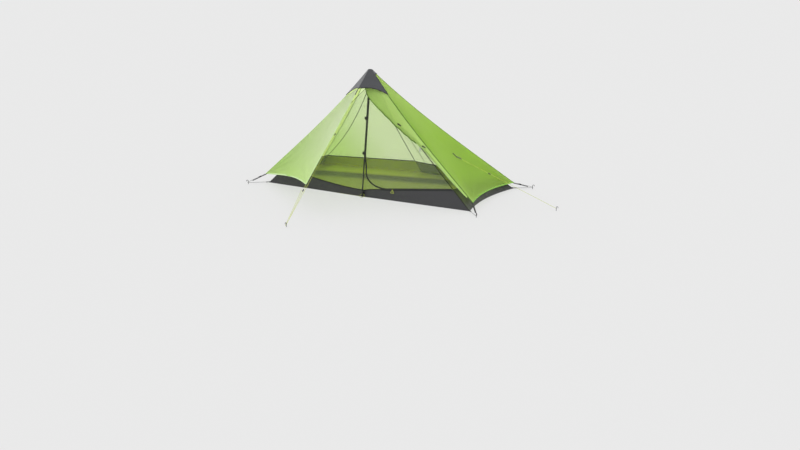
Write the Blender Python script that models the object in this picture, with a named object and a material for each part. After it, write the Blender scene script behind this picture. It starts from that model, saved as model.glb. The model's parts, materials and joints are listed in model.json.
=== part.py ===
"""One-person trekking-pole tent, pitched: a green fly over a mesh inner with a bathtub floor.

Metres, +Z up, the ground at z = 0. X runs along the sleeper and the door faces -Y.
The origin is on the underside of the groundsheet, near its middle.
"""

import math

import bmesh
import bpy
from mathutils import Vector

# Top of the pole's grip, from which fly and inner hang
PEAK_Y = -0.360
PEAK_HEIGHT = 1.250

# Groundsheet, a hexagon whose front edge bends a little at the pole
FLOOR_HALF_LENGTH = 1.176
FLOOR_POLE_Y = -0.508
FLOOR_FRONT_Y = -0.482
FLOOR_REAR_Y = 0.545
FLOOR_BACK_Y = 0.720
FLOOR_END_HOLLOW = 0.070
FLOOR_THICKNESS = 0.003

# Mesh inner, hung from a peak behind the pole
INNER_PEAK_DROP = 0.120
INNER_PEAK_Y = -0.340
INNER_PEAK_HEIGHT = PEAK_HEIGHT - INNER_PEAK_DROP
INNER_PEAK_OPEN = 0.955
TUB_THICKNESS = 0.0016
MESH_THICKNESS = 0.0012
TUB_HEIGHT_FRONT_CORNER = 0.185
TUB_HEIGHT_POLE = 0.068
TUB_HEIGHT_REAR = 0.125
TUB_HEIGHT_BACK = 0.150
SEAM_GAP = 0.004

# Door zip in the right half of the inner's front
ZIP_X = 0.014
ZIP_TOP_X = -0.012
ZIP_STRAIGHT_X = -0.009
ZIP_STRAIGHT_Z = 0.430
ZIP_TOP_Z = INNER_PEAK_HEIGHT - 0.110
ZIP_BEND_TOP_Z = 0.270
ZIP_BEND_END_X = 0.250
ZIP_BEND_END_Z = 0.104
ZIP_WIDTH = 0.006
ZIP_GAP = 0.001
ZIP_SLIDER_X = 0.330
ZIP_SLIDER_LENGTH = 0.016
ZIP_PULL_LENGTH = 0.034

# Trekking pole, grip at the peak and tip on the ground
POLE_FOOT_Y = -0.530
UPPER_SHAFT_RADIUS = 0.0090
MIDDLE_SHAFT_RADIUS = 0.0080
LOWER_SHAFT_RADIUS = 0.0068
SHAFT_WALL = 0.0006
SHAFT_CLEARANCE = 0.0003
SHAFT_INSERTION = 0.070
GRIP_LENGTH = 0.150
GRIP_SLEEVE_LENGTH = 0.080
GRIP_RADIUS = 0.0165
UPPER_CLAMP_FROM_TOP = 0.470
LOWER_CLAMP_FROM_TOP = 0.820
CLAMP_LENGTH = 0.034
CLAMP_WALL = 0.0035
LEVER_LENGTH = 0.030
TIP_LENGTH = 0.085
BASKET_RADIUS = 0.020

# Fly
FLY_PEAK_RISE = 0.034
FLY_OVERHANG = 0.035
FLY_HALF_LENGTH = FLOOR_HALF_LENGTH + FLY_OVERHANG
FLY_FRONT_Y = -0.492
FLY_FRONT_Z = 0.093
FLY_REAR_HALF_LENGTH = FLY_HALF_LENGTH - 0.036
FLY_REAR_Y = 0.550
FLY_REAR_Z = 0.062
FLY_BACK_Y = 0.820
FLY_BACK_Z = 0.080
FLY_THICKNESS = 0.0016
FLY_EDGE_GAP = 0.0035
LEFT_RIDGE_SAG = 0.040
RIGHT_RIDGE_SAG = 0.045
REAR_RIDGE_SAG = 0.042
SAG_LEAN_SHARE = 0.5
PANEL_BOW = 0.030
HEM_RISE = 0.052
DOOR_HEM = (-0.077, -1.405, 0.312)

# Peak cap, sewn over the front of the peak with a small collar round the rest
CAP_LEFT_SHARE = 0.214
CAP_FRONT_SHARE = 0.186
CAP_RIGHT_SHARE = 0.178
CAP_HOLLOW_SHARE = 0.024
CAP_COLLAR_SHARE = 0.042
CAP_STANDOFF = 0.004
CAP_TOP_SHARE = 0.012

# Right door, gathered to its ridge
ROLL_START_SHARE = 0.115
ROLL_END_SHARE = 0.955
ROLL_GAP = 0.010
ROLL_SHARES = (0.115, 0.21, 0.31, 0.40, 0.45, 0.50, 0.56, 0.78, 0.96)
ROLL_DEPTHS = (0.196, 0.173, 0.136, 0.107, 0.086, 0.062, 0.044, 0.032, 0.016)
ROLL_THICKNESSES = (0.010, 0.014, 0.027, 0.036, 0.038, 0.034, 0.030, 0.026, 0.014)
TOGGLES = {"upper": (0.355, 0.575), "lower": (0.556, 0.0)}
TOGGLE_TILT = 0.5
TOGGLE_LENGTH = 0.034
TOGGLE_RADIUS = 0.0035

# Cords, loops and stakes
CORD_DIAMETER = 0.003
CORD_GAP = 0.0006
FOOT_LOOP_CORD = 0.0035
FOOT_LOOP_RISE = 0.030
FOOT_LOOP_HALF_WIDTH = 0.024
STAKE_DIAMETER = 0.005
STAKE_STANDS = 0.034
HOOK_RADIUS = 0.009
SIDE_CLIP_SHARE = 0.447
SIDE_CLIP_HEIGHT = INNER_PEAK_HEIGHT * SIDE_CLIP_SHARE
FRONT_STAKE = (-0.041, -1.785)
FRONT_CORNER_STAKE = (FLY_HALF_LENGTH + 0.114, -0.648)
REAR_CORNER_STAKE = (FLY_REAR_HALF_LENGTH + 0.183, 0.620)
BACK_STAKE_Y = 0.980
END_STAKE = (FLY_HALF_LENGTH + 0.679, -0.060)
END_LOOP_REACH_SHARE = 0.690
END_LOOP_SHARE = 0.560
END_LOOP_LENGTH = 0.060
END_LOOP_WIDTH = 0.015
WEBBING_THICKNESS = 0.0025
GUY_START = 0.178
GUY_OFFSET = 0.0135
TENSIONER_LENGTH = 0.026
TENSIONER_WIDTH = 0.012
TENSIONER_HEIGHT = 0.008

UP = Vector((0, 0, 1))
GRIP_TOP = Vector((0, PEAK_Y, PEAK_HEIGHT))
POLE_FOOT = Vector((0, POLE_FOOT_Y, 0))
POLE_DOWN = (POLE_FOOT - GRIP_TOP).normalized()
POLE_LENGTH = (POLE_FOOT - GRIP_TOP).length
POLE_TILT = math.atan2(PEAK_Y - POLE_FOOT_Y, PEAK_HEIGHT)

INNER_PEAK = Vector((0, INNER_PEAK_Y, INNER_PEAK_HEIGHT))
FLOOR_POLE = Vector((0, FLOOR_POLE_Y, 0))
FLOOR_BACK = Vector((0, FLOOR_BACK_Y, 0))
FLOOR_FRONT = {side: Vector((side * FLOOR_HALF_LENGTH, FLOOR_FRONT_Y, 0)) for side in (-1, 1)}
FLOOR_REAR = {side: Vector((side * FLOOR_HALF_LENGTH, FLOOR_REAR_Y, 0)) for side in (-1, 1)}

FLY_PEAK = Vector((0, PEAK_Y, PEAK_HEIGHT + FLY_PEAK_RISE))
FLY_FRONT = {side: Vector((side * FLY_HALF_LENGTH, FLY_FRONT_Y, FLY_FRONT_Z)) for side in (-1, 1)}
FLY_REAR = {side: Vector((side * FLY_REAR_HALF_LENGTH, FLY_REAR_Y, FLY_REAR_Z)) for side in (-1, 1)}
FLY_BACK = Vector((0, FLY_BACK_Y, FLY_BACK_Z))
FREE_CORNER = Vector(DOOR_HEM)
SIDE_NAME = {-1: "left", 1: "right"}


def clear_scene():
    for old in list(bpy.data.objects):
        bpy.data.objects.remove(old)


def material(name, colour, roughness, metallic=0.0):
    made = bpy.data.materials.new(name)
    made.use_nodes = True
    shader = made.node_tree.nodes["Principled BSDF"]
    shader.inputs["Base Color"].default_value = (*colour, 1)
    shader.inputs["Roughness"].default_value = roughness
    shader.inputs["Metallic"].default_value = metallic
    return made


def add_object(name, data, finish, place=(0, 0, 0), turn=(0, 0, 0)):
    made = bpy.data.objects.new(name, data)
    made.location = place
    made.rotation_euler = turn
    data.materials.append(finish)
    bpy.context.scene.collection.objects.link(made)
    return made


def finish_mesh(shape, name, smooth_below=40):
    bmesh.ops.recalc_face_normals(shape, faces=shape.faces)
    data = bpy.data.meshes.new(name)
    shape.to_mesh(data)
    shape.free()
    data.shade_smooth()
    data.set_sharp_from_angle(angle=math.radians(smooth_below))
    return data


def ring_solid(rings, closed_loop=False):
    """A solid skinned over rings of equal counts, capped at both ends or closed round on itself."""
    shape = bmesh.new()
    made = [[shape.verts.new(place) for place in ring] for ring in rings]
    pairs = list(zip(made, made[1:]))
    if closed_loop:
        pairs.append((made[-1], made[0]))
    for low, high in pairs:
        count = len(low)
        for i in range(count):
            j = (i + 1) % count
            shape.faces.new((low[i], low[j], high[j], high[i]))
    if not closed_loop:
        shape.faces.new(list(reversed(made[0])))
        shape.faces.new(made[-1])
    return shape


def turned(name, profile, sides, finish, hollow=False, place=(0, 0, 0), turn=(0, 0, 0)):
    """A profile of (radius, height) turned about Z; a hollow one goes round to its start."""
    angles = [2 * math.pi * i / sides for i in range(sides)]
    rings = [[(r * math.cos(a), r * math.sin(a), z) for a in angles] for r, z in profile]
    return add_object(name, finish_mesh(ring_solid(rings, hollow), name), finish, place, turn)


def folded_sheet(name, faces, thickness, finish):
    """A flat or folded sheet given its thickness evenly on both sides."""
    shape = bmesh.new()
    for corners in faces:
        shape.faces.new([shape.verts.new(corner) for corner in corners])
    bmesh.ops.remove_doubles(shape, verts=shape.verts, dist=1e-5)
    made = add_object(name, finish_mesh(shape, name, 10), finish)
    wall = made.modifiers.new("wall", "SOLIDIFY")
    wall.thickness = thickness
    wall.offset = 0
    wall.use_even_offset = True
    return made


def slab(name, grid, thickness, finish):
    """A curved sheet of cloth: a grid of points given its thickness along the normals."""
    rows, columns = len(grid), len(grid[0])

    def normal(i, j):
        along = grid[min(i + 1, rows - 1)][j] - grid[max(i - 1, 0)][j]
        across = grid[i][min(j + 1, columns - 1)] - grid[i][max(j - 1, 0)]
        return along.cross(across).normalized()

    shape = bmesh.new()
    sheets = []
    for side in (-0.5, 0.5):
        sheets.append(
            [[shape.verts.new(grid[i][j] + normal(i, j) * side * thickness) for j in range(columns)] for i in range(rows)]
        )
    for sheet in sheets:
        for i in range(rows - 1):
            for j in range(columns - 1):
                shape.faces.new((sheet[i][j], sheet[i][j + 1], sheet[i + 1][j + 1], sheet[i + 1][j]))
    rim = [(0, j) for j in range(columns)] + [(i, columns - 1) for i in range(1, rows)]
    rim += [(rows - 1, j) for j in range(columns - 2, -1, -1)] + [(i, 0) for i in range(rows - 2, 0, -1)]
    under, over = sheets
    for (a, b), (c, d) in zip(rim, rim[1:] + rim[:1]):
        shape.faces.new((under[a][b], under[c][d], over[c][d], over[a][b]))
    return add_object(name, finish_mesh(shape, name), finish)


def smooth_route(points, steps):
    """Points of a smooth curve that runs through every point of the route."""
    ends = [points[0] * 2 - points[1]] + list(points) + [points[-1] * 2 - points[-2]]
    made = [points[0]]
    for a, b, c, d in zip(ends, ends[1:], ends[2:], ends[3:]):
        for k in range(1, steps + 1):
            t = k / steps
            made.append(
                0.5 * (2 * b + (c - a) * t + (2 * a - 5 * b + 4 * c - d) * t**2 + (3 * b - a - 3 * c + d) * t**3)
            )
    return made


def tube(name, points, diameter, finish, sides=2):
    curve = bpy.data.curves.new(name, "CURVE")
    curve.dimensions = "3D"
    curve.bevel_depth = diameter / 2
    curve.bevel_resolution = sides
    curve.use_fill_caps = True
    spline = curve.splines.new("POLY")
    spline.points.add(len(points) - 1)
    for made, place in zip(spline.points, points):
        made.co = (*place, 1)
    return add_object(name, curve, finish)


def frame_on(axis, towards):
    """Three unit directions: the axis, the one nearest to towards and the one square to both."""
    axis = axis.normalized()
    second = (towards - axis * towards.dot(axis)).normalized()
    return axis, second, axis.cross(second)


def bored_block(name, centre, axis, towards, size, bore_radius, finish):
    """A small moulded block, rounded in section and waisted, bored along its axis."""
    along, up, across = frame_on(axis, towards)
    length, width, height = size
    count = 16
    stations = [(-0.5, 0.72), (-0.4, 1.0), (-0.12, 0.86), (0.12, 0.86), (0.4, 1.0), (0.5, 0.72)]
    rings = []
    for share, swell in stations:
        ring = []
        for i in range(count):
            a = 2 * math.pi * i / count
            c, s = math.cos(a), math.sin(a)
            ring.append(
                centre
                + along * share * length
                + across * math.copysign(abs(c) ** 0.6, c) * swell * width / 2
                + up * math.copysign(abs(s) ** 0.6, s) * swell * height / 2
            )
        rings.append(ring)
    for share in (0.5, -0.5):
        ring = []
        for i in range(count):
            a = 2 * math.pi * i / count
            ring.append(centre + along * share * length + (across * math.cos(a) + up * math.sin(a)) * bore_radius)
        rings.append(ring)
    return add_object(name, finish_mesh(ring_solid(rings, True), name), finish)


def inner_point(corner, height):
    """The point of the seam from a floor corner to the inner's peak at this height."""
    return corner.lerp(INNER_PEAK, height / INNER_PEAK_HEIGHT)


def inner_quad(start, end, low, high):
    """A strip of one inner face between two heights at each seam, set in from both seams."""
    along = (end - start).normalized() * SEAM_GAP
    return [
        inner_point(start, low[0]) + along,
        inner_point(end, low[1]) - along,
        inner_point(end, high[1]) - along,
        inner_point(start, high[0]) + along,
    ]


def front_point(x, z, side=0):
    """A point of the inner's front, which folds back on both sides of the pole."""
    side = side or (1 if x >= 0 else -1)
    base, corner = FLOOR_POLE, FLOOR_FRONT[side]
    normal = (corner - base).cross(INNER_PEAK - base)
    y = base.y - (normal.x * (x - base.x) + normal.z * (z - base.z)) / normal.y
    return Vector((x, y, z))


def front_wall_top(x):
    """Height of the front bathtub wall: lowest at the pole, highest at the corners."""
    if x < 0:
        share = min(1.0, -x / corner_x(TUB_HEIGHT_FRONT_CORNER))
        return TUB_HEIGHT_POLE + (TUB_HEIGHT_FRONT_CORNER - TUB_HEIGHT_POLE) * share**1.7
    return zip_line_z(x) - ZIP_WIDTH / 2 - ZIP_GAP - 0.0025


def corner_x(z):
    """How far out the front corner seam is at this height."""
    return FLOOR_HALF_LENGTH * (1 - z / INNER_PEAK_HEIGHT)


def zip_line_z(x):
    """Height of the zip's straight lower run, which climbs to the right-hand corner."""
    end_z = TUB_HEIGHT_FRONT_CORNER
    share = (x - ZIP_BEND_END_X) / (corner_x(end_z) - ZIP_BEND_END_X)
    if x < ZIP_BEND_END_X:
        drop = ZIP_BEND_END_Z - TUB_HEIGHT_POLE - ZIP_WIDTH / 2 - ZIP_GAP - 0.002
        return ZIP_BEND_END_Z - drop * (1 - x / ZIP_BEND_END_X) ** 2
    return ZIP_BEND_END_Z + (end_z - ZIP_BEND_END_Z) * share


def zip_bend(count=8):
    """Points (x, z) of the zip's rounded corner, from the upright run to the lower one."""
    made = []
    for i in range(count + 1):
        a = math.pi / 2 * i / count
        x = ZIP_X + (ZIP_BEND_END_X - ZIP_X) * (1 - math.cos(a)) ** 1.15
        z = ZIP_BEND_TOP_Z - (ZIP_BEND_TOP_Z - ZIP_BEND_END_Z) * math.sin(a)
        made.append((x, z))
    return made


def offset_path(path, distance):
    """A flat path of (x, z) points moved sideways; positive is to the door's side."""
    made = []
    for i, (x, z) in enumerate(path):
        x0, z0 = path[max(i - 1, 0)]
        x1, z1 = path[min(i + 1, len(path) - 1)]
        length = math.hypot(x1 - x0, z1 - z0)
        made.append((x - (z1 - z0) / length * distance, z + (x1 - x0) / length * distance))
    return made


def zip_path():
    """The whole zip: straight down behind the pole, out past it, round the bend and to the corner."""
    end_x = corner_x(TUB_HEIGHT_FRONT_CORNER) - 3 * SEAM_GAP
    upright = [(ZIP_TOP_X, ZIP_TOP_Z)]
    for share in (0, 0.25, 0.5, 0.75):
        x = ZIP_STRAIGHT_X + (ZIP_X - ZIP_STRAIGHT_X) * share * share * (3 - 2 * share)
        upright.append((x, ZIP_STRAIGHT_Z + (ZIP_BEND_TOP_Z - ZIP_STRAIGHT_Z) * share))
    return upright + zip_bend() + [(end_x, zip_line_z(end_x))]


def fly_ridge(corner, t, sag):
    """A ridge of the fly from its peak to a corner, hanging a little below the straight line."""
    lean = 1 + SAG_LEAN_SHARE * (1 - 2 * t)
    return FLY_PEAK.lerp(corner, t) - UP * (4 * sag * t * (1 - t) * lean)


def cap_edge(u, start, end):
    """Where the cap's lower edge lies between two ridges, hollowed between them."""
    return start + (end - start) * u - CAP_HOLLOW_SHARE * 4 * u * (1 - u)


def fly_surface(first, second, u, t, bow=PANEL_BOW):
    """A point of a fly panel between two ridges, drawn in a little between them."""
    (corner_a, sag_a), (corner_b, sag_b) = first, second
    a, b = fly_ridge(corner_a, t, sag_a), fly_ridge(corner_b, t, sag_b)
    outward = (b - a).cross(FLY_PEAK - a.lerp(b, 0.5)).normalized()
    return a.lerp(b, u) - outward * (bow * 4 * u * (1 - u) * t * t)


FRONT_LEFT = (FLY_FRONT[-1], LEFT_RIDGE_SAG)
FRONT_RIGHT = (FLY_FRONT[1], RIGHT_RIDGE_SAG)
REAR_LEFT = (FLY_REAR[-1], REAR_RIDGE_SAG)
REAR_RIGHT = (FLY_REAR[1], REAR_RIDGE_SAG)
BACK_MIDDLE = (FLY_BACK, REAR_RIDGE_SAG)
DOOR_LINE = (FREE_CORNER, 0.0)


def fly_panel(name, first, second, finish, top, rise=HEM_RISE, edge=FLY_EDGE_GAP, columns=10, rows=12):
    """One fly panel from under the cap to its scalloped hem."""
    grid = []
    for i in range(rows + 1):
        row = []
        for j in range(columns + 1):
            share = j / columns
            reach = (first[0] - FLY_PEAK).lerp(second[0] - FLY_PEAK, share).length
            low = 1 - (rise * 4 * share * (1 - share)) / reach
            t = top(share) + (low - top(share)) * i / rows
            width = (fly_ridge(*first[:1], t, first[1]) - fly_ridge(*second[:1], t, second[1])).length
            u = edge / width + (1 - 2 * edge / width) * share
            row.append(fly_surface(first, second, u, t))
        grid.append(row)
    return slab(name, grid, FLY_THICKNESS, finish)


def make_fly(green, pale):
    """The four fixed panels and the left door, each cut between two ridges."""

    def under_cap(share):
        return CAP_COLLAR_SHARE - 0.014

    def below_cap(share):
        return cap_edge(share, CAP_LEFT_SHARE, CAP_FRONT_SHARE) + 0.010

    fly_panel("fly_right_end", FRONT_RIGHT, REAR_RIGHT, green, under_cap)
    fly_panel("fly_left_end", REAR_LEFT, FRONT_LEFT, green, under_cap)
    fly_panel("fly_back_right", REAR_RIGHT, BACK_MIDDLE, green, under_cap)
    fly_panel("fly_back_left", BACK_MIDDLE, REAR_LEFT, green, under_cap)
    fly_panel("fly_left_door", FRONT_LEFT, DOOR_LINE, pale, below_cap)


def make_cap(finish):
    """The stiff dark cap: a patch down both front faces and a collar round the peak behind them."""
    collar = (CAP_COLLAR_SHARE, CAP_COLLAR_SHARE)
    faces = [
        (FRONT_LEFT, DOOR_LINE, (CAP_LEFT_SHARE, CAP_FRONT_SHARE)),
        (DOOR_LINE, FRONT_RIGHT, (CAP_FRONT_SHARE, CAP_RIGHT_SHARE)),
        (FRONT_RIGHT, REAR_RIGHT, collar),
        (REAR_RIGHT, BACK_MIDDLE, collar),
        (BACK_MIDDLE, REAR_LEFT, collar),
        (REAR_LEFT, FRONT_LEFT, collar),
    ]
    rows = 5
    spots = []
    for number, (first, second, reach) in enumerate(faces):
        front = number < 2
        for u in (0, 0.2, 0.4, 0.6, 0.8) if front else (0, 0.06, 0.5, 0.94):
            low = cap_edge(u, *reach) if front else CAP_COLLAR_SHARE
            if u == 0:
                low = max(low, faces[number - 1][2][1])
            spots.append((first, second, u, low))

    def ring(i, lift):
        made = []
        for first, second, u, low in spots:
            t = CAP_TOP_SHARE + (low - CAP_TOP_SHARE) * i / rows
            place = fly_surface(first, second, u, t, 0)
            out = place - Vector((0, PEAK_Y, place.z))
            made.append(place + (out.normalized() + UP * 0.7) * lift)
        return made

    outside = [ring(i, CAP_STANDOFF + FLY_THICKNESS) for i in range(rows, -1, -1)]
    inside = [ring(i, CAP_STANDOFF) for i in range(rows + 1)]
    shape = bmesh.new()
    made = [[shape.verts.new(place) for place in loop] for loop in outside + inside]
    pairs = list(zip(made[: rows + 1], made[1 : rows + 1]))
    pairs += list(zip(made[rows + 1 :], made[rows + 2 :]))
    pairs.append((made[-1], made[0]))
    for low, high in pairs:
        count = len(low)
        for k in range(count):
            m = (k + 1) % count
            shape.faces.new((low[k], low[m], high[m], high[k]))
    shape.faces.new(made[rows])
    shape.faces.new(list(reversed(made[rows + 1])))
    add_object("peak_cap", finish_mesh(shape, "peak_cap", 30), finish)


def roll_size(s):
    """Depth below the ridge and thickness of the gathered door at a place along the ridge."""
    table = list(zip(ROLL_SHARES, ROLL_DEPTHS, ROLL_THICKNESSES))
    for (s0, depth0, thick0), (s1, depth1, thick1) in zip(table, table[1:]):
        if s <= s1:
            share = max(0.0, (s - s0) / (s1 - s0))
            share = share * share * (3 - 2 * share)
            return depth0 + (depth1 - depth0) * share, thick0 + (thick1 - thick0) * share
    return table[-1][1:]


def roll_frame(s):
    """Ridge point, direction down and square to the ridge, and the level direction to the front."""
    place = fly_ridge(FLY_FRONT[1], s, RIGHT_RIDGE_SAG)
    along = (fly_ridge(FLY_FRONT[1], s + 0.01, RIGHT_RIDGE_SAG) - place).normalized()
    level = along.cross(UP).normalized()
    under = along.cross(level).normalized()
    if under.z > 0:
        under = -under
    if level.y > 0:
        level = -level
    return place, under, level


def make_right_door(finish):
    """The right fly door gathered up to its ridge: flat by the cap and a lobed bundle below."""
    count, steps = 20, 30
    rings = []
    for i in range(steps + 1):
        s = ROLL_START_SHARE + (ROLL_END_SHARE - ROLL_START_SHARE) * i / steps
        place, under, level = roll_frame(s)
        depth, thick = roll_size(s)
        lobes = 0.10 * min(1.0, 2.5 * max(0.0, s - 0.2))
        ring = []
        for k in range(count):
            a = 2 * math.pi * k / count
            swell = 1 - lobes * (0.5 + 0.5 * math.cos(5 * a + 9 * s))
            ring.append(
                place
                + under * (ROLL_GAP + depth / 2 + depth / 2 * swell * math.cos(a))
                + level * (0.012 + thick / 2 * swell * math.sin(a))
            )
        rings.append(ring)
    add_object("fly_right_door", finish_mesh(ring_solid(rings), "fly_right_door", 60), finish)


def make_toggles(finish):
    """Two turned toggles, each with the webbing tab that it holds the gathered door by."""
    for word, (s, share) in TOGGLES.items():
        name = f"door_toggle_{word}"
        place, under, level = roll_frame(s)
        depth, thick = roll_size(s)
        along = under.cross(level).normalized()
        if along.x < 0:
            along = -along
        along = (along * math.cos(TOGGLE_TILT) - under * math.sin(TOGGLE_TILT)).normalized()
        centre = place + under * (ROLL_GAP + depth * share) + level * (0.012 + thick / 2 + TOGGLE_RADIUS + 0.002)
        across = along.cross(level).normalized()
        count = 12
        rings = []
        for share, swell in ((-0.5, 0.6), (-0.42, 1.0), (-0.1, 0.8), (0.1, 0.8), (0.42, 1.0), (0.5, 0.6)):
            ring = []
            for k in range(count):
                a = 2 * math.pi * k / count
                spoke = (across * math.cos(a) + level * math.sin(a)) * swell * TOGGLE_RADIUS
                ring.append(centre + along * share * TOGGLE_LENGTH + spoke)
            rings.append(ring)
        add_object(name, finish_mesh(ring_solid(rings), name), finish)


def end_edge(side, share):
    """A point of the groundsheet's end edge, which is cut hollow so that it pulls taut."""
    place = FLOOR_FRONT[side].lerp(FLOOR_REAR[side], share)
    return place - Vector((side * FLOOR_END_HOLLOW * 4 * share * (1 - share), 0, 0))


def make_floor(finish):
    """The groundsheet, a flat six-sided slab that everything stands on."""
    stops = [k / 8 for k in range(9)]
    corners = [FLOOR_POLE] + [end_edge(1, share) for share in stops]
    corners += [FLOOR_BACK] + [end_edge(-1, share) for share in reversed(stops)]
    rings = [[corner + UP * z for corner in corners] for z in (0, FLOOR_THICKNESS)]
    add_object("groundsheet", finish_mesh(ring_solid(rings), "groundsheet", 10), finish)


def make_tub(finish):
    """The bathtub walls, which continue the mesh faces down to the groundsheet."""
    base = FLOOR_THICKNESS + SEAM_GAP / 4
    end_low, end_high = (base, base), (TUB_HEIGHT_FRONT_CORNER, TUB_HEIGHT_REAR)
    back_high = (TUB_HEIGHT_REAR, TUB_HEIGHT_BACK)
    for side in (-1, 1):
        word = SIDE_NAME[side]
        low_a, low_b, high_b, high_a = inner_quad(FLOOR_FRONT[side], FLOOR_REAR[side], end_low, end_high)
        grid = []
        for i in range(5):
            row = []
            for k in range(9):
                share = k / 8
                straight = low_a.lerp(low_b, share).lerp(high_a.lerp(high_b, share), i / 4)
                hollow = FLOOR_END_HOLLOW * 4 * share * (1 - share) * (1 - i / 4)
                row.append(straight - Vector((side * hollow, 0, 0)))
            grid.append(row)
        slab(f"tub_wall_{word}", grid, TUB_THICKNESS, finish)
        back = inner_quad(FLOOR_REAR[side], FLOOR_BACK, end_low, back_high)
        folded_sheet(f"tub_wall_back_{word}", [back], TUB_THICKNESS, finish)
    faces = []
    stops = 6
    for side in (-1, 1):
        reach = corner_x(TUB_HEIGHT_FRONT_CORNER) - SEAM_GAP
        top = [front_point(side * reach * k / stops, front_wall_top(side * reach * k / stops)) for k in range(stops + 1)]
        low = [front_point(side * (corner_x(base) - SEAM_GAP), base), front_point(0, base)]
        faces.append(top + low)
    folded_sheet("tub_wall_front", faces, TUB_THICKNESS, finish)


def make_mesh_walls(finish):
    """The fixed mesh faces above the bathtub and the door's own face."""
    gap = SEAM_GAP / 2
    top = (INNER_PEAK_HEIGHT * INNER_PEAK_OPEN,) * 2
    for side in (-1, 1):
        word = SIDE_NAME[side]
        end_low = (TUB_HEIGHT_FRONT_CORNER + gap, TUB_HEIGHT_REAR + gap)
        back_low = (TUB_HEIGHT_REAR + gap, TUB_HEIGHT_BACK + gap)
        end = inner_quad(FLOOR_FRONT[side], FLOOR_REAR[side], end_low, top)
        back = inner_quad(FLOOR_REAR[side], FLOOR_BACK, back_low, top)
        folded_sheet(f"mesh_{word}_end", [end], MESH_THICKNESS, finish)
        folded_sheet(f"mesh_back_{word}", [back], MESH_THICKNESS, finish)

    clear = ZIP_WIDTH / 2 + ZIP_GAP
    fixed_edge = [p for p in offset_path(zip_path(), -clear) if p[0] < ZIP_BEND_END_X * 0.8]
    stops = 6
    reach = corner_x(TUB_HEIGHT_FRONT_CORNER) - SEAM_GAP
    sill = [(-reach * k / stops, front_wall_top(-reach * k / stops) + gap) for k in range(stops, -1, -1)]
    (x0, z0), (x1, z1) = next(pair for pair in zip(fixed_edge, fixed_edge[1:]) if pair[1][0] > 0)
    fold = (0, z0 + (z1 - z0) * x0 / (x0 - x1))
    upper_edge = [place for place in fixed_edge if place[0] < 0]
    lower_edge = [place for place in fixed_edge if place[0] > 0]
    left = [front_point(x, z, -1) for x, z in sill + [fold] + upper_edge[::-1]]
    left += [front_point(x, top[0], -1) for x in (upper_edge[0][0], SEAM_GAP - corner_x(top[0]))]
    right = [front_point(0, sill[-1][1], -1)]
    for x in (0.25, 0.5, 0.75):
        place = ZIP_BEND_END_X * 0.8 * x
        right.append(front_point(place, front_wall_top(place) + gap))
    right += [front_point(x, z) for x, z in lower_edge[::-1]] + [front_point(*fold, -1)]
    folded_sheet("mesh_front_fixed", [left, right], MESH_THICKNESS, finish)

    door_edge = offset_path(zip_path(), clear)
    hinge_top = (corner_x(ZIP_TOP_Z) - SEAM_GAP, ZIP_TOP_Z)
    hinge_low_z = zip_line_z(door_edge[-1][0]) + clear
    outline = door_edge[:-1] + [(corner_x(hinge_low_z) - 3 * SEAM_GAP, hinge_low_z), hinge_top]
    folded_sheet("mesh_door", [[front_point(x, z, 1) for x, z in outline]], MESH_THICKNESS, finish)


def make_zip(black, cord):
    """The zip's tape and teeth as one strip between door and wall, its slider and its pull."""
    half = ZIP_WIDTH / 2
    door_side, wall_side = offset_path(zip_path(), half), offset_path(zip_path(), -half)
    faces = []
    for i in range(len(door_side) - 1):
        corners = (door_side[i], door_side[i + 1], wall_side[i + 1], wall_side[i])
        faces.append([front_point(x, z, 1) for x, z in corners])
    folded_sheet("zip_track", faces, 2 * MESH_THICKNESS, black)

    start = front_point(ZIP_SLIDER_X, zip_line_z(ZIP_SLIDER_X))
    along = (front_point(ZIP_SLIDER_X + 0.1, zip_line_z(ZIP_SLIDER_X + 0.1)) - start).normalized()
    normal = (FLOOR_FRONT[1] - FLOOR_POLE).cross(INNER_PEAK - FLOOR_POLE).normalized()
    outward = -normal if normal.y > 0 else normal
    up = along.cross(outward)
    if up.z < 0:
        up = -up
    body_centre = start + outward * (MESH_THICKNESS + SHAFT_CLEARANCE + 0.002)
    rings = []
    for share, swell in ((-0.5, 0.7), (-0.25, 1.0), (0.35, 0.9), (0.5, 0.5)):
        ring = []
        for c, s in ((-1, -0.6), (-0.6, -1), (0.6, -1), (1, -0.6), (1, 1), (-1, 1)):
            ring.append(body_centre + along * share * ZIP_SLIDER_LENGTH + up * c * swell * half - outward * s * 0.0015)
        rings.append(ring)
    add_object("zip_slider", finish_mesh(ring_solid(rings), "zip_slider", 30), black)

    root = body_centre + outward * (0.0015 + 0.0022)
    pull = [root, root - up * ZIP_PULL_LENGTH * 0.5 + outward * 0.001, root - up * ZIP_PULL_LENGTH]
    tube("zip_pull", smooth_route(pull, 3), 0.0032, cord, 1)


def pole_object(name, profile, sides, finish, hollow=False):
    """A turned piece of the pole: heights run up the pole from the grip's top."""
    return turned(name, profile, sides, finish, hollow, GRIP_TOP, (-POLE_TILT, 0, 0))


def shaft_profile(radius, start, end):
    """A tube between two distances from the top of the grip."""
    bore = radius - SHAFT_WALL
    return [(radius, -end), (radius, -start), (bore, -start), (bore, -end)]


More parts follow.
